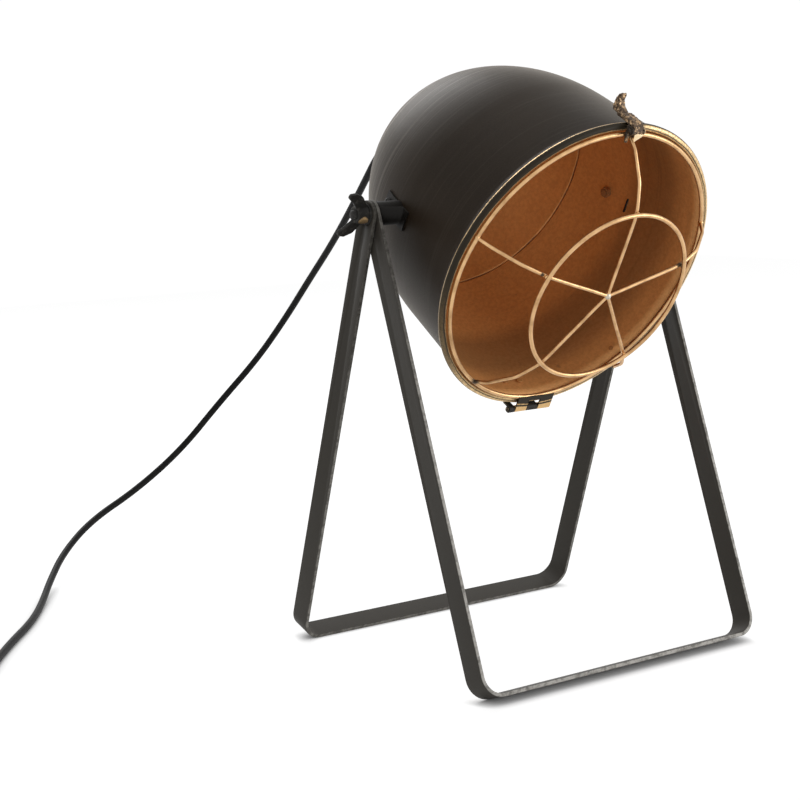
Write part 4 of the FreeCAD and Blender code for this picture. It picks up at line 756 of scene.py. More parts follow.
@dataclass(frozen=True)
class BronzeLining:
    """Bronze paint in the dome: a sprayed grain, a dark seam, faint darker rings, and a band of painted
    shade round the middle of the wall.
    """

    head: Head
    seam_place: float
    bright: Colour = (0.79, 0.405, 0.144)
    deep: Colour = (0.58, 0.275, 0.087)
    # dark: the colour of the seam and stains, and of the painted shade band.
    dark: Colour = (0.060, 0.028, 0.012)
    rings: Tuple[float, float] = (300.0, 6.0)
    patches: Grain = Grain(11.0, 3.0, 0.55)
    skin: Grain = Grain(2400.0, 3.0, 0.65)
    mottle: Grain = Grain(420.0, 4.0, 0.7)
    stains: Grain = Grain(130.0, 3.0, 0.6)

    def material(self) -> bpy.types.Material:
        """Builds the material.

        Returns:
            The material.
        """
        sheet = ShaderSheet("bronze_lining")
        out = sheet.on_head(self.head)[2]
        patches, grain, mottle = (sheet.noise(kind) for kind in (self.patches, self.skin, self.mottle))
        rings = sheet.streaks(self.head.out, *self.rings)
        shade = patches.step(0.25, 0.75) * 0.45 + mottle.step(0.34, 0.66) * 0.55
        # thin: a band of painted shade round the middle of the wall; worn adds the faint rings to it.
        thin = out.band(33.0 * MM, 10.0 * MM, 24.0 * MM) * 0.48
        worn = rings.step(0.56, 0.76) * 0.10 + thin
        base = sheet.blend(worn, sheet.blend(shade, self.deep, self.bright), self.dark)
        wander = (sheet.noise(Grain(60.0)) - 0.5) * (1.2 * MM)
        seam = (out + wander).band(self.seam_place, 0.35 * MM, 0.3 * MM)
        seam = seam * (sheet.noise(Grain(30.0)).step(0.36, 0.56) * 0.75 + 0.25)
        mark = (seam * 0.75).most(sheet.noise(self.stains).step(0.69, 0.78) * 0.3)
        return sheet.finish(
            sheet.blend(mark, base, self.dark),
            0.44 + grain * 0.16 + patches * 0.06,
            sheet.bump(mottle, 0.05 * MM, sheet.bump(grain, 0.06 * MM)),
            0.42 - mark * 0.3,
        )


@dataclass(frozen=True)
class WornBead:
    """The rolled rim: dark coat that is worn to bright metal along its outer and front edges."""

    head: Head
    bead_radius: float
    bead_place: float
    coat: Colour = (0.026, 0.019, 0.010)
    metal: Colour = (0.80, 0.56, 0.29)
    patches: Grain = Grain(45.0, 4.0, 0.65)
    skin: Grain = Grain(700.0, 3.0, 0.65)

    def material(self) -> bpy.types.Material:
        """Builds the material.

        Returns:
            The material.
        """
        sheet = ShaderSheet("worn_bead")
        x, up, out, radius = sheet.on_head(self.head)
        patchy, fine = sheet.noise(self.patches), sheet.noise(self.skin)
        turn = (out - self.bead_place).angle_to(radius - self.bead_radius) + (patchy - 0.5) * 0.8
        far_side = x.step(-4.0 * MM, 24.0 * MM).most(up.step(-45.0 * MM, -95.0 * MM))
        outer = turn.band(-0.55, 0.24, 0.2)
        far = turn.band(1.05, 0.38, 0.2) * far_side
        front = turn.band(2.35, 0.45, 0.3)
        low = up.step(10.0 * MM, -80.0 * MM) * x.step(40.0 * MM, -50.0 * MM)
        rub = outer.most(far).most(front * 0.8).most(low * turn.band(0.5, 0.5, 0.5) * 0.4)
        rub = rub * (0.6 + fine.step(0.32, 0.6) * 0.4)
        return sheet.finish(
            sheet.blend(rub, self.coat, self.metal),
            0.46 - rub * 0.14 + fine * 0.1,
            sheet.bump(fine, 0.04 * MM),
            rub,
            Specular_IOR_Level=0.2,
        )


@dataclass(frozen=True)
class CoatedLeaf:
    """The brass leaf of the guard's hinge: coated like the rim beside it, bare on its knuckles."""

    head: Head
    coat: Colour = (0.026, 0.019, 0.010)
    brass: Colour = (0.72, 0.47, 0.21)
    bare_from: float = 109.8 * MM
    worn_line: float = 107.9 * MM
    skin: Grain = Grain(700.0, 3.0, 0.65)

    def material(self) -> bpy.types.Material:
        """Builds the material.

        Returns:
            The material.
        """
        sheet = ShaderSheet("coated_leaf")
        radius = sheet.on_head(self.head)[3]
        fine = sheet.noise(self.skin)
        uneven = radius + (fine - 0.5) * (0.6 * MM)
        bare = uneven.step(self.bare_from - 0.2 * MM, self.bare_from + 0.2 * MM)
        bare = bare.most(radius.band(self.worn_line, 0.3 * MM, 0.3 * MM) * fine.step(0.3, 0.5))
        return sheet.finish(
            sheet.blend(bare, self.coat, self.brass),
            0.48 - bare * 0.14,
            sheet.bump(fine, 0.05 * MM),
            bare,
            Specular_IOR_Level=0.2,
        )


@dataclass(frozen=True)
class DrawnBrass:
    """Lacquered wire: warm, a little tarnished, and dark at spots where it was soldered: painted
    shadows at the spokes' ends, with some solder darkening.

    Each spot is an angle from the top, a radius, a place along the head's axis and a size.
    """

    name: str
    head: Head
    bright: Colour = (0.73, 0.465, 0.235)
    tarnish: Colour = (0.35, 0.185, 0.075)
    # The dark colour of the painted shadows at the spoke ends, with some solder darkening.
    shadow_solder_colour: Colour = (0.030, 0.020, 0.012)
    shadow_solder_spots: Tuple[Tuple[float, float, float, float], ...] = ()
    rough: float = 0.27
    clouds: Grain = Grain(85.0, 3.0, 0.6)
    skin: Grain = Grain(1500.0, 2.0, 0.6)

    def material(self) -> bpy.types.Material:
        """Builds the material.

        Returns:
            The material.
        """
        sheet = ShaderSheet(self.name)
        cloud = sheet.noise(self.clouds)
        base = sheet.blend(cloud.step(0.35, 0.75) * 0.7, self.bright, self.tarnish)
        rough = self.rough + cloud * 0.14
        normal = sheet.bump(sheet.noise(self.skin), 0.02 * MM)
        if not self.shadow_solder_spots:
            return sheet.finish(base, rough, normal, 1.0)
        # Dark spots painted at the spoke ends: painted shadows, with some solder darkening.
        shadow_solder_masks = []
        for angle, radius, out, size in self.shadow_solder_spots:
            spot = self.head.point(radius * math.sin(angle), radius * math.cos(angle), out)
            reach = sheet.length(sheet.vector("SUBTRACT", sheet.place, tuple(spot)))
            shadow_solder_masks.append((reach + (cloud - 0.5) * size).step(size, size * 0.35))
        shadow_solder = shadow_solder_masks[0]
        for mark in shadow_solder_masks[1:]:
            shadow_solder = shadow_solder.most(mark)
        base = sheet.blend(shadow_solder * 0.92, base, self.shadow_solder_colour)
        return sheet.finish(base, rough + shadow_solder * 0.3, normal, 1.0 - shadow_solder * 0.8)


@dataclass(frozen=True)
class CastMetal:
    """Cast or stamped metal with a dark patina that is rubbed off its high spots.

    amount is how much is rubbed off, grain the grains per metre and depth the height of the bumps.
    """

    name: str
    high: Colour = (0.62, 0.45, 0.24)
    low: Colour = (0.045, 0.034, 0.022)
    amount: float = 0.5
    grain: float = 620.0
    depth: float = 0.16 * MM
    rough: float = 0.42
    metal: float = 1.0

    def material(self) -> bpy.types.Material:
        """Builds the material.

        Returns:
            The material.
        """
        sheet = ShaderSheet(self.name)
        coarse = sheet.noise(Grain(self.grain * 0.45, 3.0, 0.6))
        fine = sheet.noise(Grain(self.grain * 2.2, 3.0, 0.65))
        height = coarse * 0.65 + fine * 0.35
        top = height.step(0.62 - 0.2 * self.amount, 0.74 - 0.2 * self.amount)
        return sheet.finish(
            sheet.blend(top, self.low, self.high),
            self.rough + 0.22 - top * 0.2,
            sheet.bump(height, self.depth),
            self.metal * (0.35 + top * 0.65),
        )


@dataclass(frozen=True)
class BlackHardware:
    """Black coat on small cast or turned hardware, dusty grey, and worn to the metal at one spot."""

    name: str
    colour: Colour
    dust: Colour
    worn_at: Optional[Vector] = None
    worn_reach: float = 4.0 * MM
    worn_metal: Colour = (0.70, 0.47, 0.24)
    clouds: Grain = Grain(240.0, 4.0, 0.65)
    skin: Grain = Grain(1900.0, 3.0, 0.6)

    def material(self) -> bpy.types.Material:
        """Builds the material.

        Returns:
            The material.
        """
        sheet = ShaderSheet(self.name)
        cloud = sheet.noise(self.clouds)
        base = sheet.blend(cloud.step(0.5, 0.78) * 0.6, self.colour, self.dust)
        rough = 0.42 + cloud * 0.22
        normal = sheet.bump(sheet.noise(self.skin), 0.06 * MM)
        metal: Any = 0.0
        if self.worn_at is not None:
            reach = sheet.length(sheet.vector("SUBTRACT", sheet.place, tuple(self.worn_at)))
            uneven = reach + (cloud - 0.5) * (3.0 * MM)
            metal = uneven.step(self.worn_reach, self.worn_reach * 0.7)
            base = sheet.blend(metal, base, self.worn_metal)
            rough = rough - metal * 0.18
        return sheet.finish(base, rough, normal, metal, Specular_IOR_Level=0.2)


@dataclass(frozen=True)
class Plated:
    """Plain turned or stamped metal, with fine brushing across one direction."""

    name: str
    colour: Colour
    rough: float
    way: Point
    brushing: Tuple[float, float] = (5200.0, 260.0)
    clouds: Grain = Grain(160.0, 3.0, 0.6)
    darker: float = 0.55

    def material(self) -> bpy.types.Material:
        """Builds the material.

        Returns:
            The material.
        """
        sheet = ShaderSheet(self.name)
        brushed = sheet.streaks(self.way, *self.brushing)
        cloud = sheet.noise(self.clouds)
        dull = tuple(self.darker * part for part in self.colour)
        return sheet.finish(
            sheet.blend(cloud.step(0.4, 0.8) * 0.6, self.colour, dull),
            self.rough + cloud * 0.15 + brushed * 0.08,
            sheet.bump(brushed, 0.015 * MM),
            1.0,
        )


@dataclass(frozen=True)
class Moulded:
    """Moulded plastic, rubber or glazed ceramic, with a fine skin and a little dust."""

    name: str
    colour: Colour
    dust: Colour
    rough: float
    grain: float = 3000.0
    depth: float = 0.03 * MM
    gloss: float = 0.5
    clouds: Grain = Grain(90.0, 4.0, 0.6)

    def material(self) -> bpy.types.Material:
        """Builds the material.

        Returns:
            The material.
        """
        sheet = ShaderSheet(self.name)
        skin = sheet.noise(Grain(self.grain, 2.0, 0.55))
        cloud = sheet.noise(self.clouds)
        return sheet.finish(
            sheet.blend(cloud.step(0.45, 0.8) * 0.7, self.colour, self.dust),
            self.rough + cloud * 0.12,
            sheet.bump(skin, self.depth),
            Specular_IOR_Level=self.gloss,
        )


class Finish(Enum):
    """The lamp's finishes by the record's slot that they stand for."""

    FRAME = "frame_paint"
    SHADE = "shade_paint"
    BRACKET = "bracket_paint"
    WING_NUT = "wing_nut_paint"
    WASHER = "washer_steel"
    GUARD = "guard_brass"
    BRIGHT = "bright_brass"
    DARK_BRASS = "dark_brass"
    HOLDER = "holder_plastic"
    CERAMIC = "ceramic"
    SOCKET = "socket_brass"
    NUT = "nut_steel"
    CORD = "cord_sheath"
    RELIEF = "relief_rubber"
    CORE = "core_copper"
    TIE = "tie_plastic"
    SWITCH = "switch_plastic"
    SWITCH_METAL = "switch_metal"
    PLUG = "plug_plastic"
    PIN = "pin_metal"


class Palette:
    """Makes each plain finish once and hands it out."""

    def __init__(self, head: Head) -> None:
        """Names the recipes.

        Args:
            head: The head's axes, which the brushed finishes follow.
        """
        out = tuple(head.out)
        up = (0.0, 0.0, 1.0)
        rubber = ((0.009, 0.0088, 0.0085), (0.022, 0.021, 0.020))
        grey = (0.04, 0.04, 0.039)
        self._recipes: Dict[Finish, Any] = {
            Finish.BRACKET: BlackHardware(
                "bracket_black", (0.0085, 0.0070, 0.0055), (0.026, 0.022, 0.018)
            ),
            Finish.WASHER: BlackHardware("washer_black", (0.045, 0.043, 0.040), (0.19, 0.18, 0.165)),
            Finish.BRIGHT: DrawnBrass(
                "bright_brass", head, (0.95, 0.77, 0.50), (0.72, 0.50, 0.27), rough=0.24
            ),
            Finish.DARK_BRASS: CastMetal("dark_brass"),
            Finish.HOLDER: Moulded(
                "holder_black", (0.018, 0.017, 0.016), (0.05, 0.046, 0.042), 0.3, 900.0
            ),
            Finish.CERAMIC: Moulded(
                "ceramic", (0.78, 0.75, 0.68), (0.6, 0.56, 0.48), 0.22, 1400.0, 0.02 * MM
            ),
            Finish.SOCKET: Plated("socket_brass", (0.80, 0.62, 0.33), 0.26, out),
            Finish.NUT: Plated("zinc_nut", (0.55, 0.53, 0.48), 0.34, out),
            Finish.CORD: Moulded("cord_sheath", *rubber, 0.42, 2200.0, 0.04 * MM, 0.08),
            Finish.RELIEF: Moulded("relief_rubber", *rubber, 0.55, 1500.0, 0.05 * MM, 0.25),
            Finish.CORE: Moulded("core_sleeve", (0.20, 0.085, 0.03), (0.28, 0.14, 0.06), 0.4),
            Finish.TIE: Moulded(
                "tie_band", (0.02, 0.02, 0.02), (0.05, 0.05, 0.05), 0.6, 1200.0, 0.08 * MM
            ),
            Finish.SWITCH: Moulded("switch_black", (0.016, 0.016, 0.016), grey, 0.38, 1700.0),
            Finish.SWITCH_METAL: Plated("switch_zinc", (0.6, 0.58, 0.53), 0.3, up),
            Finish.PLUG: Moulded("plug_black", (0.015, 0.015, 0.015), grey, 0.48, 1700.0),
            Finish.PIN: Plated("pin_nickel", (0.74, 0.73, 0.70), 0.2, up),
        }
        self._made: Dict[Finish, bpy.types.Material] = {}

    def material(self, finish: Finish) -> bpy.types.Material:
        """The material of a finish, made at its first use.

        Args:
            finish: The finish.

        Returns:
            Its material.
        """
        if finish not in self._made:
            self._made[finish] = self._recipes[finish].material()
        return self._made[finish]


# ---------------------------------------------------------------- geometry trees
def turned_tree() -> GeometrySheet:
    """Turns an outline of (radius, 0, place) points round the Z axis.

    Returns:
        The tree.
    """
    sheet = GeometrySheet("turned", Segments="Int")
    size = sheet.node("GeometryNodeAttributeDomainSize", {0: sheet.base}, component="MESH")
    count = Field(sheet, size.outputs["Point Count"])
    index = sheet.read("GeometryNodeInputIndex")
    place = sheet.node("GeometryNodeInputPosition")
    values = {"Geometry": sheet.base, "Value": place, "Index": index.remainder(count)}
    sample = sheet.node("GeometryNodeSampleIndex", values, data_type="FLOAT_VECTOR")
    radius, _, height = sheet.node("ShaderNodeSeparateXYZ", {0: sample}).outputs
    segments = sheet.given("Segments")
    turn = (index / count).whole() / segments
    sheet.wrap(segments, count, Field(sheet, radius), turn, height)
    return sheet


def wire_tree() -> GeometrySheet:
    """Sweeps a round wire along a line and copies it round the Z axis, a little uneven by hand.

    Returns:
        The tree.
    """
    sheet = GeometrySheet("wire", Wire_Radius="Float", Copies="Int", Uneven="Float", Sides="Int")
    line = sheet.node("GeometryNodeMeshToCurve", {0: sheet.base})
    copies = sheet.given("Copies")
    spots = sheet.node("GeometryNodeMeshLine", {"Count": copies, "Offset": (0.0, 0.0, 0.0)})
    turn = sheet.joined(0.0, 0.0, sheet.read("GeometryNodeInputIndex") / copies * -TURN)
    set_round = sheet.node(
        "GeometryNodeInstanceOnPoints", {"Points": spots, "Instance": line, "Rotation": turn}
    )
    real = sheet.node("GeometryNodeRealizeInstances", {0: set_round})
    bent = sheet.shifted(real, 22.0, sheet.given("Uneven"))
    sheet.finish(sheet.swept(bent, sheet.given("Sides"), sheet.given("Wire Radius")))
    return sheet


def thread_tree() -> GeometrySheet:
    """A threaded sleeve or rod round the Z axis: an outline turned with a helical ripple.

    Returns:
        The tree.
    """
    sheet = GeometrySheet(
        "thread", Radius="Float", Depth="Float", Pitch="Float", Length="Float", Segments="Int", Rows="Int"
    )
    segments, rows = sheet.given("Segments"), sheet.given("Rows")
    points = rows + 1.0
    index = sheet.read("GeometryNodeInputIndex")
    turn = (index / points).whole() / segments
    height = index.remainder(points) / rows * sheet.given("Length")
    ripple = (height / sheet.given("Pitch") - turn) * TURN
    radius = sheet.given("Radius") - (0.5 - ripple.cosine() * 0.5) * sheet.given("Depth")
    sheet.wrap(segments, points, radius, turn, height)
    return sheet


def ribbed_tree() -> GeometrySheet:
    """A tapered, ribbed sleeve along a line.

    Returns:
        The tree.
    """
    sheet = GeometrySheet(
        "ribbed", Start_Radius="Float", End_Radius="Float", Ribs="Int", Groove="Float", Points="Int"
    )
    line = sheet.node("GeometryNodeMeshToCurve", {0: sheet.base})
    fine = sheet.node("GeometryNodeResampleCurve", {"Curve": line, "Count": sheet.given("Points")})
    share = sheet.read("GeometryNodeSplineParameter")
    start = sheet.given("Start Radius")
    taper = start + (sheet.given("End Radius") - start) * share
    wave = (share * sheet.given("Ribs") * TURN).cosine()
    radius = taper - (1.0 - wave.step(-0.35, 0.35)) * sheet.given("Groove")
    sized = sheet.node("GeometryNodeSetCurveRadius", {"Curve": fine, "Radius": radius})
    swept = sheet.swept(sized, 40, 1.0)
    if "Scale" in swept.inputs:
        sheet.connect(radius, swept.inputs["Scale"])
    sheet.finish(swept)
    return sheet


def blob_tree() -> GeometrySheet:
    """Small lumps of solder on the points of a mesh.

    Returns:
        The tree.
    """
    sheet = GeometrySheet("blobs", Blob_Radius="Float", Lumps="Float")
    ball = sheet.node(
        "GeometryNodeMeshIcoSphere", {"Radius": sheet.given("Blob Radius"), "Subdivisions": 3}
    )
    sizes = {2: 0.8, 3: 1.15, "ID": sheet.read("GeometryNodeInputIndex"), "Seed": 4}
    size = sheet.node("FunctionNodeRandomValue", sizes, data_type="FLOAT").outputs[1]
    copies = sheet.node(
        "GeometryNodeInstanceOnPoints", {"Points": sheet.base, "Instance": ball, "Scale": size}
    )
    real = sheet.node("GeometryNodeRealizeInstances", {0: copies})
    sheet.finish(sheet.shifted(real, 420.0, sheet.given("Lumps")))
    return sheet


@dataclass(frozen=True)
class Skin:
    """The soft edges and uneven skin of a casting.

    voxel is the size of the new mesh's cells, smoothing how many times its edges are eased, lumps
    how far its skin swells and sinks, and lump_size how large the lumps are.
    """

    voxel: float
    smoothing: int
    lumps: float = 0.0
    lump_size: float = 2.0 * MM


class Workshop:
    """What every sub-assembly builds with: the frame's nodes, the palette and the geometry trees."""

    def __init__(self, frame: Dict[str, Any]) -> None:
        """Prepares the tools.

        Args:
            frame: The loaded frame.
        """
        self.nodes = frame["nodes"]
        self.behaviour = frame["record"]["behaviour"]
        self.head = Head.from_record(frame["record"])
        self.palette = Palette(self.head)
        self.turned = turned_tree()
        self.wire = wire_tree()
        self.thread = thread_tree()
        self.ribbed = ribbed_tree()
        self.blobs = blob_tree()

    def joint(self, name: str) -> Vector:
        """A joint's place."""
        return Vector(next(item for item in self.behaviour["joints"] if item["name"] == name)["pos_m"])

    def body_of(self, node: str) -> str:
        """The body that a CAD node belongs to."""
        return next(name for name, members in self.behaviour["bodies"].items() if node in members)

    def keep(
        self, piece: bpy.types.Object, finish: Finish, body: str, stands_for: Sequence[str] = ()
    ) -> bpy.types.Object:
        """Settles a finished piece.

        Args:
            piece: The piece.
            finish: Its finish; not used.
            body: The body that it moves with.
            stands_for: The CAD nodes that it replaces.

        Returns:
            The piece.
        """
        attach(piece, body)
        if stands_for:
            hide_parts(*stands_for)
        LOG.info("%s: %d faces on %s", piece.name, len(piece.data.polygons), body)
        return piece

    def merged_copy(self, node: str, name: str) -> bpy.types.Object:
        """A copy of a CAD node with its loose triangles joined.

        Args:
            node: The node.
            name: Name of the copy.

        Returns:
            The copy, at the origin.
        """
        piece = new_object(name, self.nodes[node].data.copy())
        with edited(piece) as work:
            bmesh.ops.remove_doubles(work, verts=work.verts, dist=MERGE)
            flat = math.radians(0.5)
            bmesh.ops.dissolve_limit(work, angle_limit=flat, verts=work.verts, edges=work.edges)
            bmesh.ops.triangulate(work, faces=work.faces)
        return piece

    def refined(
        self,
        node: str,
        name: str,
        finish: Finish,
        material: Optional[bpy.types.Material] = None,
        crease: float = 32.0,
    ) -> bpy.types.Object:
        """A smooth-shaded copy of a CAD node that stands for it.

        Args:
            node: The node.
            name: Name of the piece.
            finish: Its finish.
            material: A material of its own, if it has one.
            crease: Angle above which an edge stays sharp, in degrees.

        Returns:
            The piece.
        """
        piece = self.merged_copy(node, name)
        piece.data.shade_smooth()
        piece.data.set_sharp_from_angle(angle=math.radians(crease))
        dress(piece, material or self.palette.material(finish))
        return self.keep(piece, finish, self.body_of(node), [node])

    def refined_set(self, finish: Finish, **names: str) -> List[bpy.types.Object]:
        """Smooth-shaded copies of several CAD nodes in one finish.

        Args:
            finish: Their finish.
            names: The name of each node's piece, by the node.

        Returns:
            The pieces, in that order.
        """
        return [self.refined(node, name, finish) for node, name in names.items()]

    def cast(
        self,
        node: str,
        name: str,
        finish: Finish,
        skin: Skin,
        material: Optional[bpy.types.Material] = None,
    ) -> bpy.types.Object:
        """A copy of a CAD node with the soft edges and uneven skin of a casting.

        Args:
            node: The node.
            name: Name of the piece.
            finish: Its finish.
            skin: How its mesh is softened.
            material: A material of its own, if it has one.

        Returns:
            The piece.
        """
        piece = self.merged_copy(node, name)
        remesh = piece.modifiers.new("remesh", "REMESH")
        remesh.mode = "VOXEL"
        remesh.voxel_size = skin.voxel
        ease = piece.modifiers.new("ease", "SMOOTH")
        ease.factor = 0.5
        ease.iterations = skin.smoothing
        if skin.lumps:
            clouds = bpy.data.textures.new(name + "_lumps", "CLOUDS")
            clouds.noise_scale = skin.lump_size
            push = piece.modifiers.new("lumps", "DISPLACE")
            push.texture = clouds
            push.texture_coords = "LOCAL"
            push.strength = skin.lumps
            push.mid_level = 0.5
        apply_modifiers(piece)
        piece.data.shade_smooth()
        dress(piece, material or self.palette.material(finish))
        return self.keep(piece, finish, self.body_of(node), [node])


# ---------------------------------------------------------------- sub-assemblies
@dataclass
class Shade:
    """The spun dome: outer wall, rolled rim and lining in one closed shell."""

    shop: Workshop
    centre: float = 22.0 * MM
    length: float = 137.5 * MM
    radius: float = 100.3 * MM
    rim_place: float = 77.5 * MM
    rim_radius: float = 104.5 * MM
    wall: float = 0.8 * MM
    bead: float = 2.6 * MM
    bead_radius: float = 106.4 * MM
    bead_cover: float = 0.75
    bead_reach: float = 1.01
    hole: float = 5.1 * MM
    seam_place: float = -42.0 * MM
    seam_width: float = 0.5 * MM
    seam_depth: float = 0.03 * MM
    seam_clear: float = 0.2 * MM
    segments: int = 256
    crown_steps: int = 70
    skirt_steps: int = 8
    bead_steps: int = 32

    def wall_outline(self, inset: float) -> List[Point]:
        """The wall from the crown's hole to the rim.

        Args:
            inset: How far it is moved inwards.

        Returns:
            Its points, as (radius, 0, place).
        """
        length = self.length - inset
        radius = self.radius - inset
        rim = self.rim_radius - inset
        u = (self.rim_place - self.centre) / length
        v = rim / radius
        touch = math.atan2(v, u) + math.acos(1 / math.hypot(u, v))
        start = math.pi - math.asin(self.hole / radius)
        points = []
        for step in range(self.crown_steps + 1):
            angle = start + (touch - start) * step / self.crown_steps
            points.append((radius * math.sin(angle), 0.0, self.centre + length * math.cos(angle)))
        corner = points[-1]
        for step in range(1, self.skirt_steps + 1):
            share = step / self.skirt_steps
            x = corner[0] + (rim - corner[0]) * share
            points.append((x, 0.0, corner[2] + (self.rim_place - corner[2]) * share))
        return points

    def lining_outline(self) -> List[Point]:
        """The inner wall with the seam's groove.

        Returns:
            Its points from the crown to the rim.
        """
        points = self.wall_outline(self.wall)
        low = self.seam_place - self.seam_width / 2
        high = self.seam_place + self.seam_width / 2
        before = [point for point in points if point[2] < low - self.seam_clear]
        after = [point for point in points if point[2] > high + self.seam_clear]
        start, end = before[-1], after[0]
        groove = []
        for place, depth in ((low, 0.0), (low, 1.0), (high, 1.0), (high, 0.0)):
            share = (place - start[2]) / (end[2] - start[2])
            radius = start[0] + (end[0] - start[0]) * share + depth * self.seam_depth
            groove.append((radius, 0.0, place))
        return before + groove + after

    def outline(self) -> List[Point]:
        """The closed outline: outside, rolled bead, then the lining back to the crown.

        Returns:
            Its points, with the first one again at the end.
        """
        start = -math.pi + math.acos((self.bead_radius - self.rim_radius) / self.bead)
        covered = self.rim_place - self.bead * self.bead_cover
        outline = [point for point in self.wall_outline(0.0) if point[2] < covered]
        for step in range(self.bead_steps + 1):
            angle = start + (math.pi - start) * step / self.bead_steps
            x = self.bead_radius + self.bead * math.cos(angle)
            outline.append((x, 0.0, self.rim_place + self.bead * math.sin(angle)))
        outline += self.lining_outline()[::-1]
        return outline + outline[:1]

    def coat_of(self, face: bpy.types.MeshPolygon) -> int:
        """Which coat a face of the shell has, before the shell is placed.

        Args:
            face: The face.

        Returns:
            0 for the enamel outside, 1 for the bead, 2 for the lining.
        """
        radius = math.hypot(face.center.x, face.center.y)
        from_bead = math.hypot(radius - self.bead_radius, face.center.z - self.rim_place)
        if from_bead < self.bead * self.bead_reach:
            return 1
        outward = sum(along * part for along, part in zip(face.normal, face.center))
        return 0 if outward > 0 else 2

    def build(self) -> None:
        """Builds the shell and paints its outside, bead and lining."""
        head = self.shop.head
        shell = self.shop.turned.shape("shade_shell", self.outline(), Segments=self.segments)
        settle_normals(shell)
        dress(
            shell,
            SpunEnamel(head).material(),
            WornBead(head, self.bead_radius, self.rim_place).material(),
            BronzeLining(head, self.seam_place).material(),
        )
        for face in shell.data.polygons:
            face.material_index = self.coat_of(face)
        shell.data.transform(head.matrix())
        shell.data.shade_smooth()
        self.shop.keep(shell, Finish.SHADE, "head", ["shade_crown", "shade_barrel"])


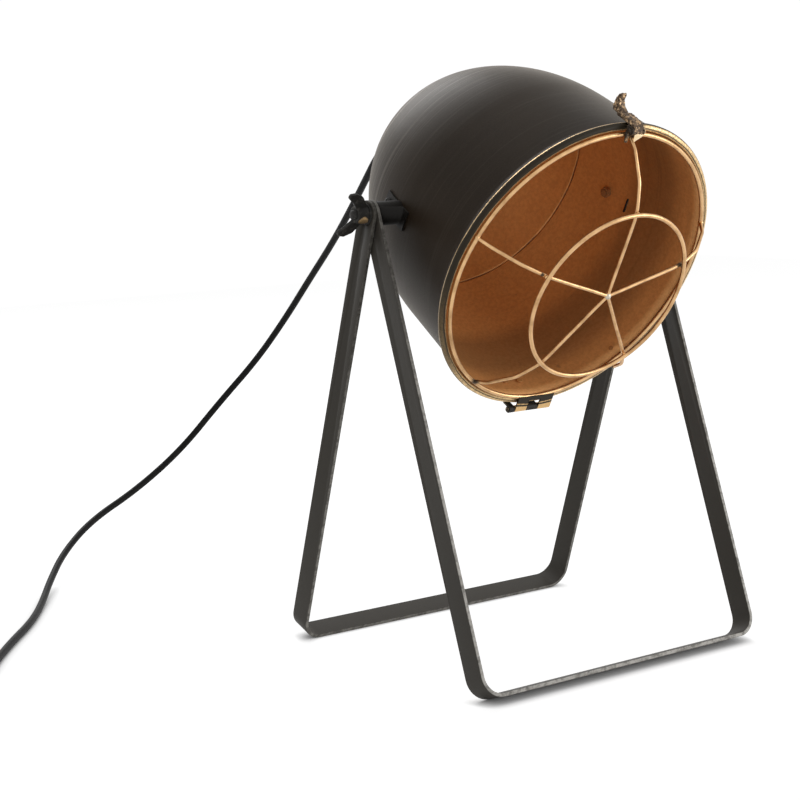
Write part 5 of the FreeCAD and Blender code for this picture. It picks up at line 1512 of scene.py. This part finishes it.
@dataclass
class Guard:
    """The wire guard: two rings, five bent spokes, solder and the hub.

    Shoulders are the inner corners of a spoke, as radius and place. The spots are dark marks at the
    spokes' ends, painted shadows with some solder darkening, as spoke number, radius, place and size.
    """

    shop: Workshop
    rim_radius: float = 102.5 * MM
    rim_place: float = 80.5 * MM
    front_radius: float = 61.9 * MM
    front_place: float = 113.9 * MM
    ring_wire: float = 1.5 * MM
    ring_points: int = 192
    ring_sides: int = 16
    spokes: int = 5
    spoke_wire: float = 1.25 * MM
    spoke_sides: int = 14
    overlap: float = 0.1 * MM
    shoulders: Tuple[Tuple[float, float], ...] = ((96.6 * MM, 90.0 * MM), (80.0 * MM, 104.2 * MM))
    bends: Tuple[float, ...] = (12.0 * MM, 20.0 * MM, 40.0 * MM)
    bend_step: float = math.radians(5)
    run_step: float = 3.0 * MM
    hub_rise: float = 1.0 * MM
    weld_rise: float = 1.1 * MM
    hub: float = 2.3 * MM
    hub_lumps: float = 1.6 * MM
    weld: float = 1.75 * MM
    weld_lumps: float = 0.9 * MM
    uneven: float = 0.9 * MM
    ring_uneven: float = 0.4
    hub_colour: Colour = (0.62, 0.56, 0.46)
    hub_rough: float = 0.34
    # Dark spots of painted shadow at the spoke ends, with some solder darkening.
    shadow_solder_spots: Tuple[Tuple[int, float, float, float], ...] = (
        (3, 101.0 * MM, 82.0 * MM, 5.0 * MM),
        (2, 97.0 * MM, 88.0 * MM, 6.0 * MM),
        (1, 60.0 * MM, 111.0 * MM, 3.6 * MM),
        (4, 65.5 * MM, 110.8 * MM, 1.8 * MM),
    )

    def __post_init__(self) -> None:
        """Works out what several pieces share."""
        self.back = self.front_place - self.ring_wire - self.spoke_wire + self.overlap
        self.fifth = TURN / self.spokes
        shadow_solder_spots = tuple((number * self.fifth, *rest) for number, *rest in self.shadow_solder_spots)
        self.brass = DrawnBrass("guard_brass", self.shop.head, shadow_solder_spots=shadow_solder_spots).material()

    def settle(
        self,
        piece: bpy.types.Object,
        nodes: Sequence[str],
        material: Optional[bpy.types.Material] = None,
        merge: Optional[float] = FINE_MERGE,
    ) -> None:
        """Places a guard piece, dresses it and puts it on the guard's body.

        Args:
            piece: The piece.
            nodes: The CAD nodes that it stands for.
            material: Its material, if it isn't the guard's brass.
            merge: How near two points are to be one, or None to leave them.
        """
        piece.data.transform(self.shop.head.matrix())
        if merge is not None:
            settle_normals(piece, merge)
        dress(piece, material or self.brass)
        self.shop.keep(piece, Finish.GUARD, "guard", nodes)

    def ring(self, name: str, radius: float, place: float, node: str) -> None:
        """One ring of the guard.

        Args:
            name: Name of the piece.
            radius: The ring's radius.
            place: Where the ring lies along the head's axis.
            node: The CAD node it stands for.
        """
        points = []
        for index in range(self.ring_points):
            angle = TURN * index / self.ring_points
            points.append((radius * math.sin(angle), radius * math.cos(angle), place))
        piece = self.shop.wire.shape(
            name,
            points,
            closed=True,
            Wire_Radius=self.ring_wire,
            Copies=1,
            Uneven=self.uneven * self.ring_uneven,
            Sides=self.ring_sides,
        )
        self.settle(piece, [node])

    def spoke_line(self) -> List[Vector]:
        """The top spoke, with its long runs divided.

        Returns:
            Its points from the rim ring to the hub.
        """
        places = (
            (self.rim_radius, self.rim_place),
            *self.shoulders,
            (self.front_radius, self.back),
            (0.0, self.back + self.hub_rise),
        )
        corners = [Vector((0.0, radius, place)) for radius, place in places]
        bent = arc_points(corners, self.bends, self.bend_step)
        line = [bent[0]]
        for point in bent[1:]:
            start = line[-1]
            reach = point - start
            count = max(1, round(reach.length / self.run_step))
            line.extend(start + reach * (step / count) for step in range(1, count + 1))
        return line

    def solder(self) -> None:
        """Solder where the spokes meet the rings, and the hub."""
        meets = ((self.rim_radius, self.rim_place), (self.front_radius, self.back + self.weld_rise))
        spots = []
        for index in range(self.spokes):
            angle = index * self.fifth
            for radius, place in meets:
                spots.append((radius * math.sin(angle), radius * math.cos(angle), place))
        blobs = self.shop.blobs
        welds = blobs.shape("guard_solder", spots, Blob_Radius=self.weld, Lumps=self.weld_lumps)
        self.settle(welds, [])
        middle = [(0.0, 0.0, self.back + self.hub_rise)]
        hub = blobs.shape("guard_hub_solder", middle, Blob_Radius=self.hub, Lumps=self.hub_lumps)
        tin = Plated("hub_solder", self.hub_colour, self.hub_rough, tuple(self.shop.head.out))
        self.settle(hub, ["guard_hub"], tin.material(), None)

    def build(self) -> None:
        """Builds all of the guard's wires."""
        self.ring("guard_rim_wire", self.rim_radius, self.rim_place, "guard_rim_ring")
        self.ring("guard_front_wire", self.front_radius, self.front_place, "guard_front_ring")
        spokes = self.shop.wire.shape(
            "guard_spoke_wires",
            self.spoke_line(),
            Wire_Radius=self.spoke_wire,
            Copies=self.spokes,
            Uneven=self.uneven,
            Sides=self.spoke_sides,
        )
        self.settle(spokes, ["guard_spoke_%d" % (index + 1) for index in range(self.spokes)])
        self.solder()


@dataclass
class Latch:
    """The catch at the top of the guard: plate with prongs, horn-shaped lever, pin and gold tab."""

    shop: Workshop
    horn_skin: Skin = Skin(0.28 * MM, 4, 0.8 * MM, 1.1 * MM)
    plate_skin: Skin = Skin(0.28 * MM, 2, 0.3 * MM, 1.2 * MM)
    tab_skin: Skin = Skin(0.25 * MM, 4)
    horn: CastMetal = CastMetal(
        "horn_bronze", (0.56, 0.38, 0.22), (0.085, 0.052, 0.030), 0.75, 900.0, 0.3 * MM, 0.36
    )
    plate: CastMetal = CastMetal(
        "plate_bronze", (0.66, 0.46, 0.26), (0.030, 0.020, 0.012), 0.66, 620.0, 0.25 * MM
    )

    def build(self) -> None:
        """Casts the plate, the lever and the tab, and dresses the pin."""
        shop = self.shop
        horn, plate = self.horn.material(), self.plate.material()
        shop.cast("latch_lever", "latch_horn", Finish.DARK_BRASS, self.horn_skin, horn)
        shop.cast("latch_base", "latch_plate", Finish.DARK_BRASS, self.plate_skin, plate)
        shop.refined("latch_pin", "latch_axle", Finish.DARK_BRASS)
        shop.cast("guard_catch_tab", "catch_tab", Finish.BRIGHT, self.tab_skin)


@dataclass
class Hinge:
    """The hinge at the foot of the guard, and the knob on the rim."""

    shop: Workshop
    wall_radius: float = 103.9 * MM
    rivet_skin: Skin = Skin(0.25 * MM, 3)
    knob_skin: Skin = Skin(0.3 * MM, 3, 0.2 * MM, 1.5 * MM)
    dark: CastMetal = CastMetal(
        "hinge_dark", (0.34, 0.25, 0.14), (0.014, 0.012, 0.010), 0.3, 420.0, 0.1 * MM
    )
    painted: CastMetal = CastMetal(
        "rivet_bronze", (0.62, 0.31, 0.10), (0.46, 0.21, 0.065), 0.6, 300.0, 0.05 * MM, metal=0.5
    )

    def build(self) -> None:
        """Dresses the leaves, the pin, the rivets and the knob."""
        shop = self.shop
        dark, painted = self.dark.material(), self.painted.material()
        leaf = CoatedLeaf(shop.head).material()
        shop.refined("hinge_bracket", "hinge_leaf_shade", Finish.DARK_BRASS, dark)
        shop.refined("guard_hinge_leaf", "hinge_leaf_guard", Finish.BRIGHT, leaf)
        shop.refined("hinge_pin", "hinge_axle", Finish.DARK_BRASS)
        rivets = shop.cast("hinge_rivets", "hinge_rivet_heads", Finish.DARK_BRASS, self.rivet_skin)
        knob = shop.cast("rim_knob", "rim_knob_turned", Finish.DARK_BRASS, self.knob_skin, dark)
        for piece in (rivets, knob):
            paint_inside(piece, shop.head, self.wall_radius, painted)


@dataclass
class Stand:
    """The two U-shaped frames, each with the share of its edges that is painted pale steel: a painted
    highlight, partly bare metal.
    """

    shop: Workshop
    front_splay: float = math.radians(-18.87)
    rear_splay: float = math.radians(19.3)
    # Share of the pale highlight painted on each frame's thin faces, with bare steel; the front frame gets
    # more.
    front_highlight_and_bare: float = 0.85
    rear_highlight_and_bare: float = 0.3
    crease: float = 50.0

    def build(self) -> None:
        """Dresses both frames in their own coat."""
        pivot = self.shop.joint("head_tilt")
        # bare: each frame's share of painted highlight and bare steel on its thin faces.
        for node, name, splay, bare in (
            ("front_frame", "frame_front_bar", self.front_splay, self.front_highlight_and_bare),
            ("rear_frame", "frame_rear_bar", self.rear_splay, self.rear_highlight_and_bare),
        ):
            coat = BarCoat(name + "_coat", pivot, splay, bare).material()
            self.shop.refined(node, name, Finish.FRAME, coat, self.crease)


@dataclass
class Pivots:
    """Brackets, studs, washers, wing nuts and the fasteners of the brackets."""

    shop: Workshop
    stud_radius: float = 3.0 * MM
    stud_pitch: float = 1.0 * MM
    stud_depth: float = 0.35 * MM
    stud_segments: int = 36
    stud_rows: int = 220
    worn_spot: Point = (-129.27 * MM, -4.6 * MM, -5.2 * MM)
    wall_radius: float = 97.9 * MM
    nut_skin: Skin = Skin(0.32 * MM, 7)
    fastener_skin: Skin = Skin(0.25 * MM, 2)
    nut_black: Tuple[Colour, Colour] = ((0.022, 0.0205, 0.018), (0.17, 0.155, 0.135))
    painted: CastMetal = CastMetal(
        "nut_bronze", (0.60, 0.31, 0.12), (0.34, 0.16, 0.06), 0.6, 300.0, 0.08 * MM, metal=0.6
    )

    def stud(self, side: str) -> None:
        """A stud with its thread cut into it.

        Args:
            side: left or right.
        """
        node = "pivot_stud_" + side
        low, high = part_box(node)
        piece = self.shop.thread.shape(
            "stud_threaded_" + side,
            [(0.0, 0.0, 0.0)],
            Radius=self.stud_radius,
            Depth=self.stud_depth,
            Pitch=self.stud_pitch,
            Length=high.x - low.x,
            Segments=self.stud_segments,
            Rows=self.stud_rows,
        )
        close_ends(piece)
        middle = (low + high) / 2
        turn = Matrix.Rotation(math.pi / 2, 4, "Y")
        piece.data.transform(Matrix.Translation((low.x, middle.y, middle.z)) @ turn)
        settle_normals(piece)
        dress(piece, self.shop.palette.material(Finish.WASHER))
        self.shop.keep(piece, Finish.WASHER, "head", [node])

    def build(self) -> None:
        """Builds both sides."""
        shop = self.shop
        worn = {"left": shop.joint("head_tilt") + Vector(self.worn_spot)}
        for side in ("left", "right"):
            black = BlackHardware("wing_nut_black_" + side, *self.nut_black, worn.get(side)).material()
            shop.cast("wing_nut_" + side, "wing_nut_cast_" + side, Finish.WING_NUT, self.nut_skin, black)
        for side in ("left", "right"):
            shop.refined("pivot_bracket_" + side, "pivot_bracket_coated_" + side, Finish.BRACKET)
            self.stud(side)
        shop.refined_set(
            Finish.WASHER, friction_washers="friction_washers_flat", clamp_washers="clamp_washers_flat"
        )
        painted = self.painted.material()
        skin = self.fastener_skin
        screws = shop.cast("bracket_screws", "bracket_screws_slotted", Finish.WASHER, skin)
        shop.cast("bracket_nuts", "bracket_nuts_hex", Finish.DARK_BRASS, skin, painted)
        paint_inside(screws, shop.head, self.wall_radius, painted)


@dataclass
class Lampholder:
    """The lampholder in the crown, with its thread, and the cord's way in."""

    shop: Workshop
    thread_radius: float = 13.75 * MM
    thread_depth: float = 0.55 * MM
    thread_pitch: float = 3.6 * MM
    thread_segments: int = 72
    thread_rows: int = 90
    wall: float = 0.4 * MM

    def shell(self) -> None:
        """The threaded shell: a thin sleeve whose wall follows the thread."""
        head = self.shop.head
        node = self.shop.nodes["socket_shell"]
        start = head.lowest(node)
        piece = self.shop.thread.shape(
            "holder_shell_threaded",
            [(0.0, 0.0, 0.0)],
            Radius=self.thread_radius,
            Depth=self.thread_depth,
            Pitch=self.thread_pitch,
            Length=head.highest(node) - start,
            Segments=self.thread_segments,
            Rows=self.thread_rows,
        )
        wall = piece.modifiers.new("wall", "SOLIDIFY")
        wall.thickness = self.wall
        wall.offset = 0.0
        apply_modifiers(piece)
        piece.data.transform(head.matrix() @ Matrix.Translation((0.0, 0.0, start)))
        settle_normals(piece)
        piece.data.shade_smooth()
        dress(piece, self.shop.palette.material(Finish.SOCKET))
        self.shop.keep(piece, Finish.SOCKET, "head", ["socket_shell"])

    def build(self) -> None:
        """Dresses the holder and its fittings."""
        made = self.shop.refined_set
        made(
            Finish.HOLDER, lampholder_cap="holder_cap_moulded", lampholder_skirt="holder_skirt_moulded"
        )
        made(Finish.CERAMIC, socket_insert="holder_insert_glazed")
        made(
            Finish.SOCKET,
            centre_contact="holder_contact_spring",
            terminals="holder_terminals",
            cord_nipple="cord_nipple_brass",
        )
        made(Finish.NUT, crown_nut="crown_nut_hex", inner_lock_nut="inner_lock_nut_hex")
        made(Finish.CORD, cord_inside="cord_in_holder")
        made(Finish.CORE, core_wires="cord_cores")
        self.shell()


@dataclass
class Cord:
    """The mains cord: strain relief, the free cord to the switch, then the coil, its tie and the plug.

    The routes' points are in millimetres, with y counted from the pivots.
    """

    shop: Workshop
    diameter: float = 5.6 * MM
    lift: float = 0.05 * MM
    line_steps: int = 12
    section_steps: int = 6
    boot_bend: float = 28.0 * MM
    boot_turn: float = math.radians(49.1)
    boot_steps: int = 24
    boot_radii: Tuple[float, float] = (6.8 * MM, 3.9 * MM)
    boot_ribs: int = 7
    boot_groove: float = 0.9 * MM
    boot_points: int = 140
    switch_place: Point = (-425.0, 170.6, 0.0)
    switch_heading: float = math.radians(157.0)
    switch_length: float = 58.0 * MM
    switch_level: float = 4.2 * MM
    coil_along: float = 44.0 * MM
    coil_aside: float = 63.0 * MM
    coil_radius: float = 32.5 * MM
    coil_turns: int = 3
    coil_pitch: float = 5.75 * MM
    coil_points: int = 16
    lead_run: float = 14.0 * MM
    lead_turn: float = math.pi / 8
    tail_turn: float = math.radians(18.0)
    tail_start: float = 19.7 * MM
    plug_level: float = 6.9 * MM
    face_gap: float = 0.06 * MM
    tie_skin: Skin = Skin(0.4 * MM, 3)
    turns_from: Point = (-37.0, 205.0, 352.0)
    turns_to: Point = (9.0, 193.0, 65.0)
    hanging: Tuple[Point, ...] = (
        (1, 141, 362.5),
        (2.5, 154, 355),
        (4, 171, 345),
        (9, 193, 329.5),
        (20, 235, 302),
        (29, 278, 273),
        (34, 322, 242),
        (33, 362, 206),
        (23, 398, 167),
        (0, 428, 128),
        (-33, 443, 87),
        (-78, 446, 56),
        (-129, 435, 37),
        (-170, 405, 20),
        (-203, 362, 8),
    )
    on_table: Tuple[Point, ...] = (
        (-231, 316, 2.85),
        (-260, 271, 2.85),
        (-293, 230, 2.85),
        (-321, 192, 2.85),
        (-336, 168, 2.85),
        (-357, 153, 3.25),
        (-381, 154, 4.2),
    )

    def __post_init__(self) -> None:
        """Works out the places that several pieces share."""
        self.level = self.diameter / 2 + self.lift
        self.pivot = self.shop.joint("head_tilt")
        self.switch = self.beside(self.switch_place)

    def beside(self, point: Point) -> Vector:
        """A point in millimetres, with y counted from the pivots, in the lamp's frame."""
        x, y, z = point
        return Vector((x * MM, self.pivot.y + y * MM, z * MM))

    def from_switch(self, along: float, aside: float, level: float) -> Vector:
        """A point given along and to the right of the switch."""
        turn = Matrix.Rotation(self.switch_heading, 3, "Z")
        return self.switch + turn @ Vector((along, -aside, level))

    def route(self) -> List[Vector]:
        """The free cord.

        Returns:
            Its control points from the strain relief to the switch.
        """
        lamp = [self.beside(point) for point in self.hanging + self.on_table]
        end = self.from_switch(-self.switch_length / 2 - self.face_gap, 0.0, self.switch_level)
        return [self.boot_line()[-1]] + lamp + [end]

    def put_away_route(self) -> List[Vector]:
        """From the switch into the coil, its turns up, and down to the plug.

        Returns:
            The control points.
        """
        tangent = self.coil_along + self.coil_radius
        bends = [step * self.lead_turn for step in (1, 2, 3)]
        along = tangent - self.lead_run * sum(math.cos(bend) for bend in bends)
        aside = 0.0
        start = self.switch_length / 2 + self.face_gap
        points = [self.from_switch(reach, 0.0, self.switch_level) for reach in (start, along)]
        for bend in bends:
            along += self.lead_run * math.cos(bend)
            aside += self.lead_run * math.sin(bend)
            points.append(self.from_switch(along, aside, self.level))
        step_angle = TURN / self.coil_points
        wide = self.coil_radius / ((6 + 2 * math.cos(step_angle)) / 8)
        count = self.coil_turns * self.coil_points
        for index in range(count):
            angle = (index + 0.5) * step_angle
            level = self.level + self.coil_pitch * self.coil_turns * (index + 0.5) / count
            ahead = self.coil_along + wide * math.cos(angle)
            points.append(self.from_switch(ahead, self.coil_aside + wide * math.sin(angle), level))
        points.extend(self.tail(tangent, self.level + self.coil_pitch * self.coil_turns))
        return points

    def tail(self, tangent: float, level: float) -> List[Vector]:
        """From the top turn down to the plug.

        Args:
            tangent: Its place along the switch.
            level: The height of the top turn.

        Returns:
            The control points.
        """
        turn = self.tail_turn
        run = (level - self.plug_level) / (2 * math.sin(turn) + math.sin(2 * turn))
        aside = self.coil_aside + self.tail_start
        points = [self.from_switch(tangent, aside, level)]
        for angle in (0.0, turn, 2 * turn, turn, 0.0):
            aside += run * math.cos(angle)
            level -= run * math.sin(angle)
            points.append(self.from_switch(tangent, aside, level))
        return points

    def boot_line(self) -> List[Vector]:
        """The middle line of the strain relief.

        Returns:
            Its points from the crown nut to its thin end.
        """
        head = self.shop.head
        base = head.lowest(self.shop.nodes["crown_nut"]) - self.face_gap
        line = []
        for step in range(self.boot_steps + 1):
            angle = self.boot_turn * step / self.boot_steps
            up = -self.boot_bend + self.boot_bend * math.cos(angle)
            line.append(head.point(0.0, up, base - self.boot_bend * math.sin(angle)))
        return line

    def curve(self, name: str, points: Sequence[Vector], bevel: float) -> bpy.types.Object:
        """A smooth NURBS curve with these control points.

        Args:
            name: Name of the curve.
            points: Its control points.
            bevel: Radius of its round section, or 0 for its line alone.

        Returns:
            The curve object.
        """
        data = bpy.data.curves.new(name, "CURVE")
        data.dimensions = "3D"
        data.resolution_u = self.line_steps
        data.bevel_depth = bevel
        data.bevel_resolution = self.section_steps
        data.use_fill_caps = True
        spline = data.splines.new("NURBS")
        spline.points.add(len(points) - 1)
        for point, place in zip(spline.points, points):
            point.co = (*place, 1.0)
        spline.order_u = 3
        spline.use_endpoint_u = True
        return new_object(name, data)

    def tube(self, name: str, points: Sequence[Vector]) -> Tuple[bpy.types.Object, List[Vector]]:
        """The cord's sheath as a mesh.

        Args:
            name: Name of the piece.
            points: Its control points.

        Returns:
            The piece and the points that it follows.
        """
        line = self.curve(name + "_line", points, 0.0)
        path = [Vector(vertex.co) for vertex in plain_mesh(line).vertices]
        round_one = self.curve(name + "_round", points, self.diameter / 2)
        piece = new_object(name, plain_mesh(round_one))
        for spare in (line, round_one):
            bpy.data.objects.remove(spare)
        piece.data.shade_smooth()
        settle_normals(piece, FINE_MERGE)
        dress(piece, self.shop.palette.material(Finish.CORD))
        return piece, path

    def relief(self) -> bpy.types.Object:
        """The ribbed strain relief.

        Returns:
            The piece.
        """
        start, end = self.boot_radii
        piece = self.shop.ribbed.shape(
            "strain_relief_ribbed",
            self.boot_line(),
            Start_Radius=start,
            End_Radius=end,
            Ribs=self.boot_ribs,
            Groove=self.boot_groove,
            Points=self.boot_points,
        )
        settle_normals(piece, FINE_MERGE)
        dress(piece, self.shop.palette.material(Finish.RELIEF))
        return self.shop.keep(piece, Finish.RELIEF, "head", ["strain_relief"])

    def switch_pieces(self) -> List[bpy.types.Object]:
        """The in-line switch.

        Returns:
            Its shells, its rocker and its metal parts.
        """
        made = self.shop.refined_set
        return made(
            Finish.SWITCH,
            switch_base="switch_shell_lower",
            switch_cover="switch_shell_upper",
            switch_rocker="switch_rocker_key",
        ) + made(
            Finish.SWITCH_METAL,
            switch_screws="switch_screw_pair",
            switch_contacts="switch_terminal_pair",
        )

    def plug_pieces(self) -> List[bpy.types.Object]:
        """The plug and its pins."""
        made = self.shop.refined_set
        return made(Finish.PLUG, plug_body="plug_moulded") + made(Finish.PIN, plug_pins="plug_pins_plated")

    def build(self) -> None:
        """Builds the cord and what is on it."""
        relief = self.relief()
        switch = self.switch_pieces()
        plug = self.plug_pieces()
        tie = self.shop.cast("cord_tie", "cord_tie_band", Finish.TIE, self.tie_skin)
        route = self.route()
        free, path = self.tube("mains_cord", route)
        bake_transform(free)
        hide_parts("cord_hanging", "cord_table")
        away = self.put_away_route()
        coil, path = self.tube("mains_cord_coil", away)
        self.shop.keep(coil, Finish.CORD, "stand_rear", ["cord_lead", "cord_coil", "cord_tail"])


# ---------------------------------------------------------------- stage
@dataclass
class Studio:
    """White table, even light and the camera.

    Each lamp is a name, a place, a diameter and a power in watts.
    """

    shop: Workshop
    azimuth: float = math.radians(-35.11)
    elevation: float = math.radians(8.19)
    roll: float = math.radians(-1.71)
    lens: float = 80.70
    sensor: float = 36.0
    spot: Point = (-789.268 * MM, -978.491 * MM, 356.309 * MM)
    floor_size: float = 6.0
    floor_colour: Colour = (0.86, 0.86, 0.86)
    floor_glow: float = 1.6
    glow_share: float = 0.5
    # Reach, samples and fall-off of the painted contact shadow on the table.
    contact_reach: float = 9.0 * MM
    contact_samples: int = 12
    contact_fall: float = 1.6
    sky: float = 0.44
    sky_seen: float = 0.58
    aim: Point = (0.0, 0.0, 0.25)
    lamps: Tuple[Tuple[str, Point, float, float], ...] = (
        ("back", (0.3, 1.75, 1.65), 1.3, 17.0),
        ("front", (1.5, -1.5, 0.35), 1.2, 20.0),
    )

    def build(self) -> None:
        """Sets the stage."""
        self.camera()
        self.floor()
        self.world()
        for lamp in self.lamps:
            self.lamp(*lamp)

    def camera(self) -> None:
        """The camera."""
        level = math.cos(self.elevation)
        back = Vector(
            (
                math.sin(self.azimuth) * level,
                -math.cos(self.azimuth) * level,
                math.sin(self.elevation),
            )
        )
        side = Vector((math.cos(self.azimuth), math.sin(self.azimuth), 0.0))
        up = back.cross(side)
        right = side * math.cos(self.roll) + up * math.sin(self.roll)
        top = up * math.cos(self.roll) - side * math.sin(self.roll)
        data = bpy.data.cameras.new("camera")
        data.lens = self.lens
        data.sensor_width = self.sensor
        made = new_object("camera", data)
        place = Vector(self.spot) + Vector((0.0, self.shop.joint("head_tilt").y, 0.0))
        turn = Matrix((right, top, back)).transposed()
        made.matrix_world = Matrix.Translation(place) @ turn.to_4x4()
        bpy.context.scene.camera = made

    def floor(self) -> None:
        """A white table that keeps the lamp's shadow, with a painted contact shadow: ambient occlusion cuts
        back its glow near the lamp.
        """
        half = self.floor_size / 2
        mesh = bpy.data.meshes.new("table")
        corners = [(-half, -half, 0.0), (half, -half, 0.0), (half, half, 0.0), (-half, half, 0.0)]
        mesh.from_pydata(corners, [], [(0, 1, 2, 3)])
        table = new_object("table", mesh)
        sheet = ShaderSheet("table_white")
        plain = sheet.node("ShaderNodeBsdfDiffuse", {"Color": self.floor_colour})
        glow = sheet.node("ShaderNodeEmission", {"Color": WHITE, "Strength": self.floor_glow})
        # Ambient occlusion cuts the glow near the lamp: a painted contact shadow under the bars and the
        # cord.
        near = sheet.node(
            "ShaderNodeAmbientOcclusion", {"Distance": self.contact_reach}, samples=self.contact_samples
        )
        open_to = Field(sheet, near.outputs["AO"]).power(self.contact_fall)
        glowing = self.seen(sheet) * open_to * self.glow_share
        mixed = sheet.node("ShaderNodeMixShader", {0: glowing, 1: plain, 2: glow})
        sheet.node("ShaderNodeOutputMaterial", {"Surface": mixed})
        dress(table, sheet.material)

    @staticmethod
    def seen(sheet: NodeSheet) -> Field:
        """Where a ray comes from the camera, a reflection or a clear part.

        Args:
            sheet: The tree that asks.

        Returns:
            1 for such a ray, 0 for another.
        """
        path = sheet.node("ShaderNodeLightPath")
        camera, glossy, clear = (
            Field(sheet, path.outputs["Is %s Ray" % kind]) for kind in ("Camera", "Glossy", "Transmission")
        )
        return camera.most(glossy).most(clear)

    def world(self) -> None:
        """White surroundings that light the lamp softly."""
        world = bpy.data.worlds.new("surroundings")
        world.use_nodes = True
        bpy.context.scene.world = world
        sheet = NodeSheet(world.node_tree)
        sheet.tree.nodes.clear()
        strength = self.sky + self.seen(sheet) * self.sky_seen
        light = sheet.node("ShaderNodeBackground", {"Color": WHITE, "Strength": strength})
        sheet.node("ShaderNodeOutputWorld", {"Surface": light})
        bpy.context.scene.view_settings.view_transform = "Standard"

    def lamp(self, name: str, place: Point, size: float, power: float) -> None:
        """A large soft lamp that points at the middle of the stage.

        Args:
            name: Its name.
            place: Its place.
            size: Its diameter.
            power: Its power in watts.
        """
        data = bpy.data.lights.new(name, "AREA")
        data.shape = "DISK"
        data.size = size
        data.energy = power
        made = new_object(name, data)
        made.location = place
        way = Vector(self.aim) - Vector(place)
        made.rotation_euler = way.to_track_quat("-Z", "Y").to_euler()


def main() -> None:
    """Builds the lamp's looks in order."""
    logging.basicConfig(level=logging.INFO, format="%(name)s: %(message)s")
    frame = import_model()
    shop = Workshop(frame)
    parts: Sequence[Callable[[Workshop], Any]] = (
        Studio,
        Cord,
        Shade,
        Guard,
        Latch,
        Hinge,
        Stand,
        Pivots,
        Lampholder,
    )
    for part in parts:
        LOG.info("building %s", part.__name__)
        part(shop).build()


if __name__ == "__main__":
    main()
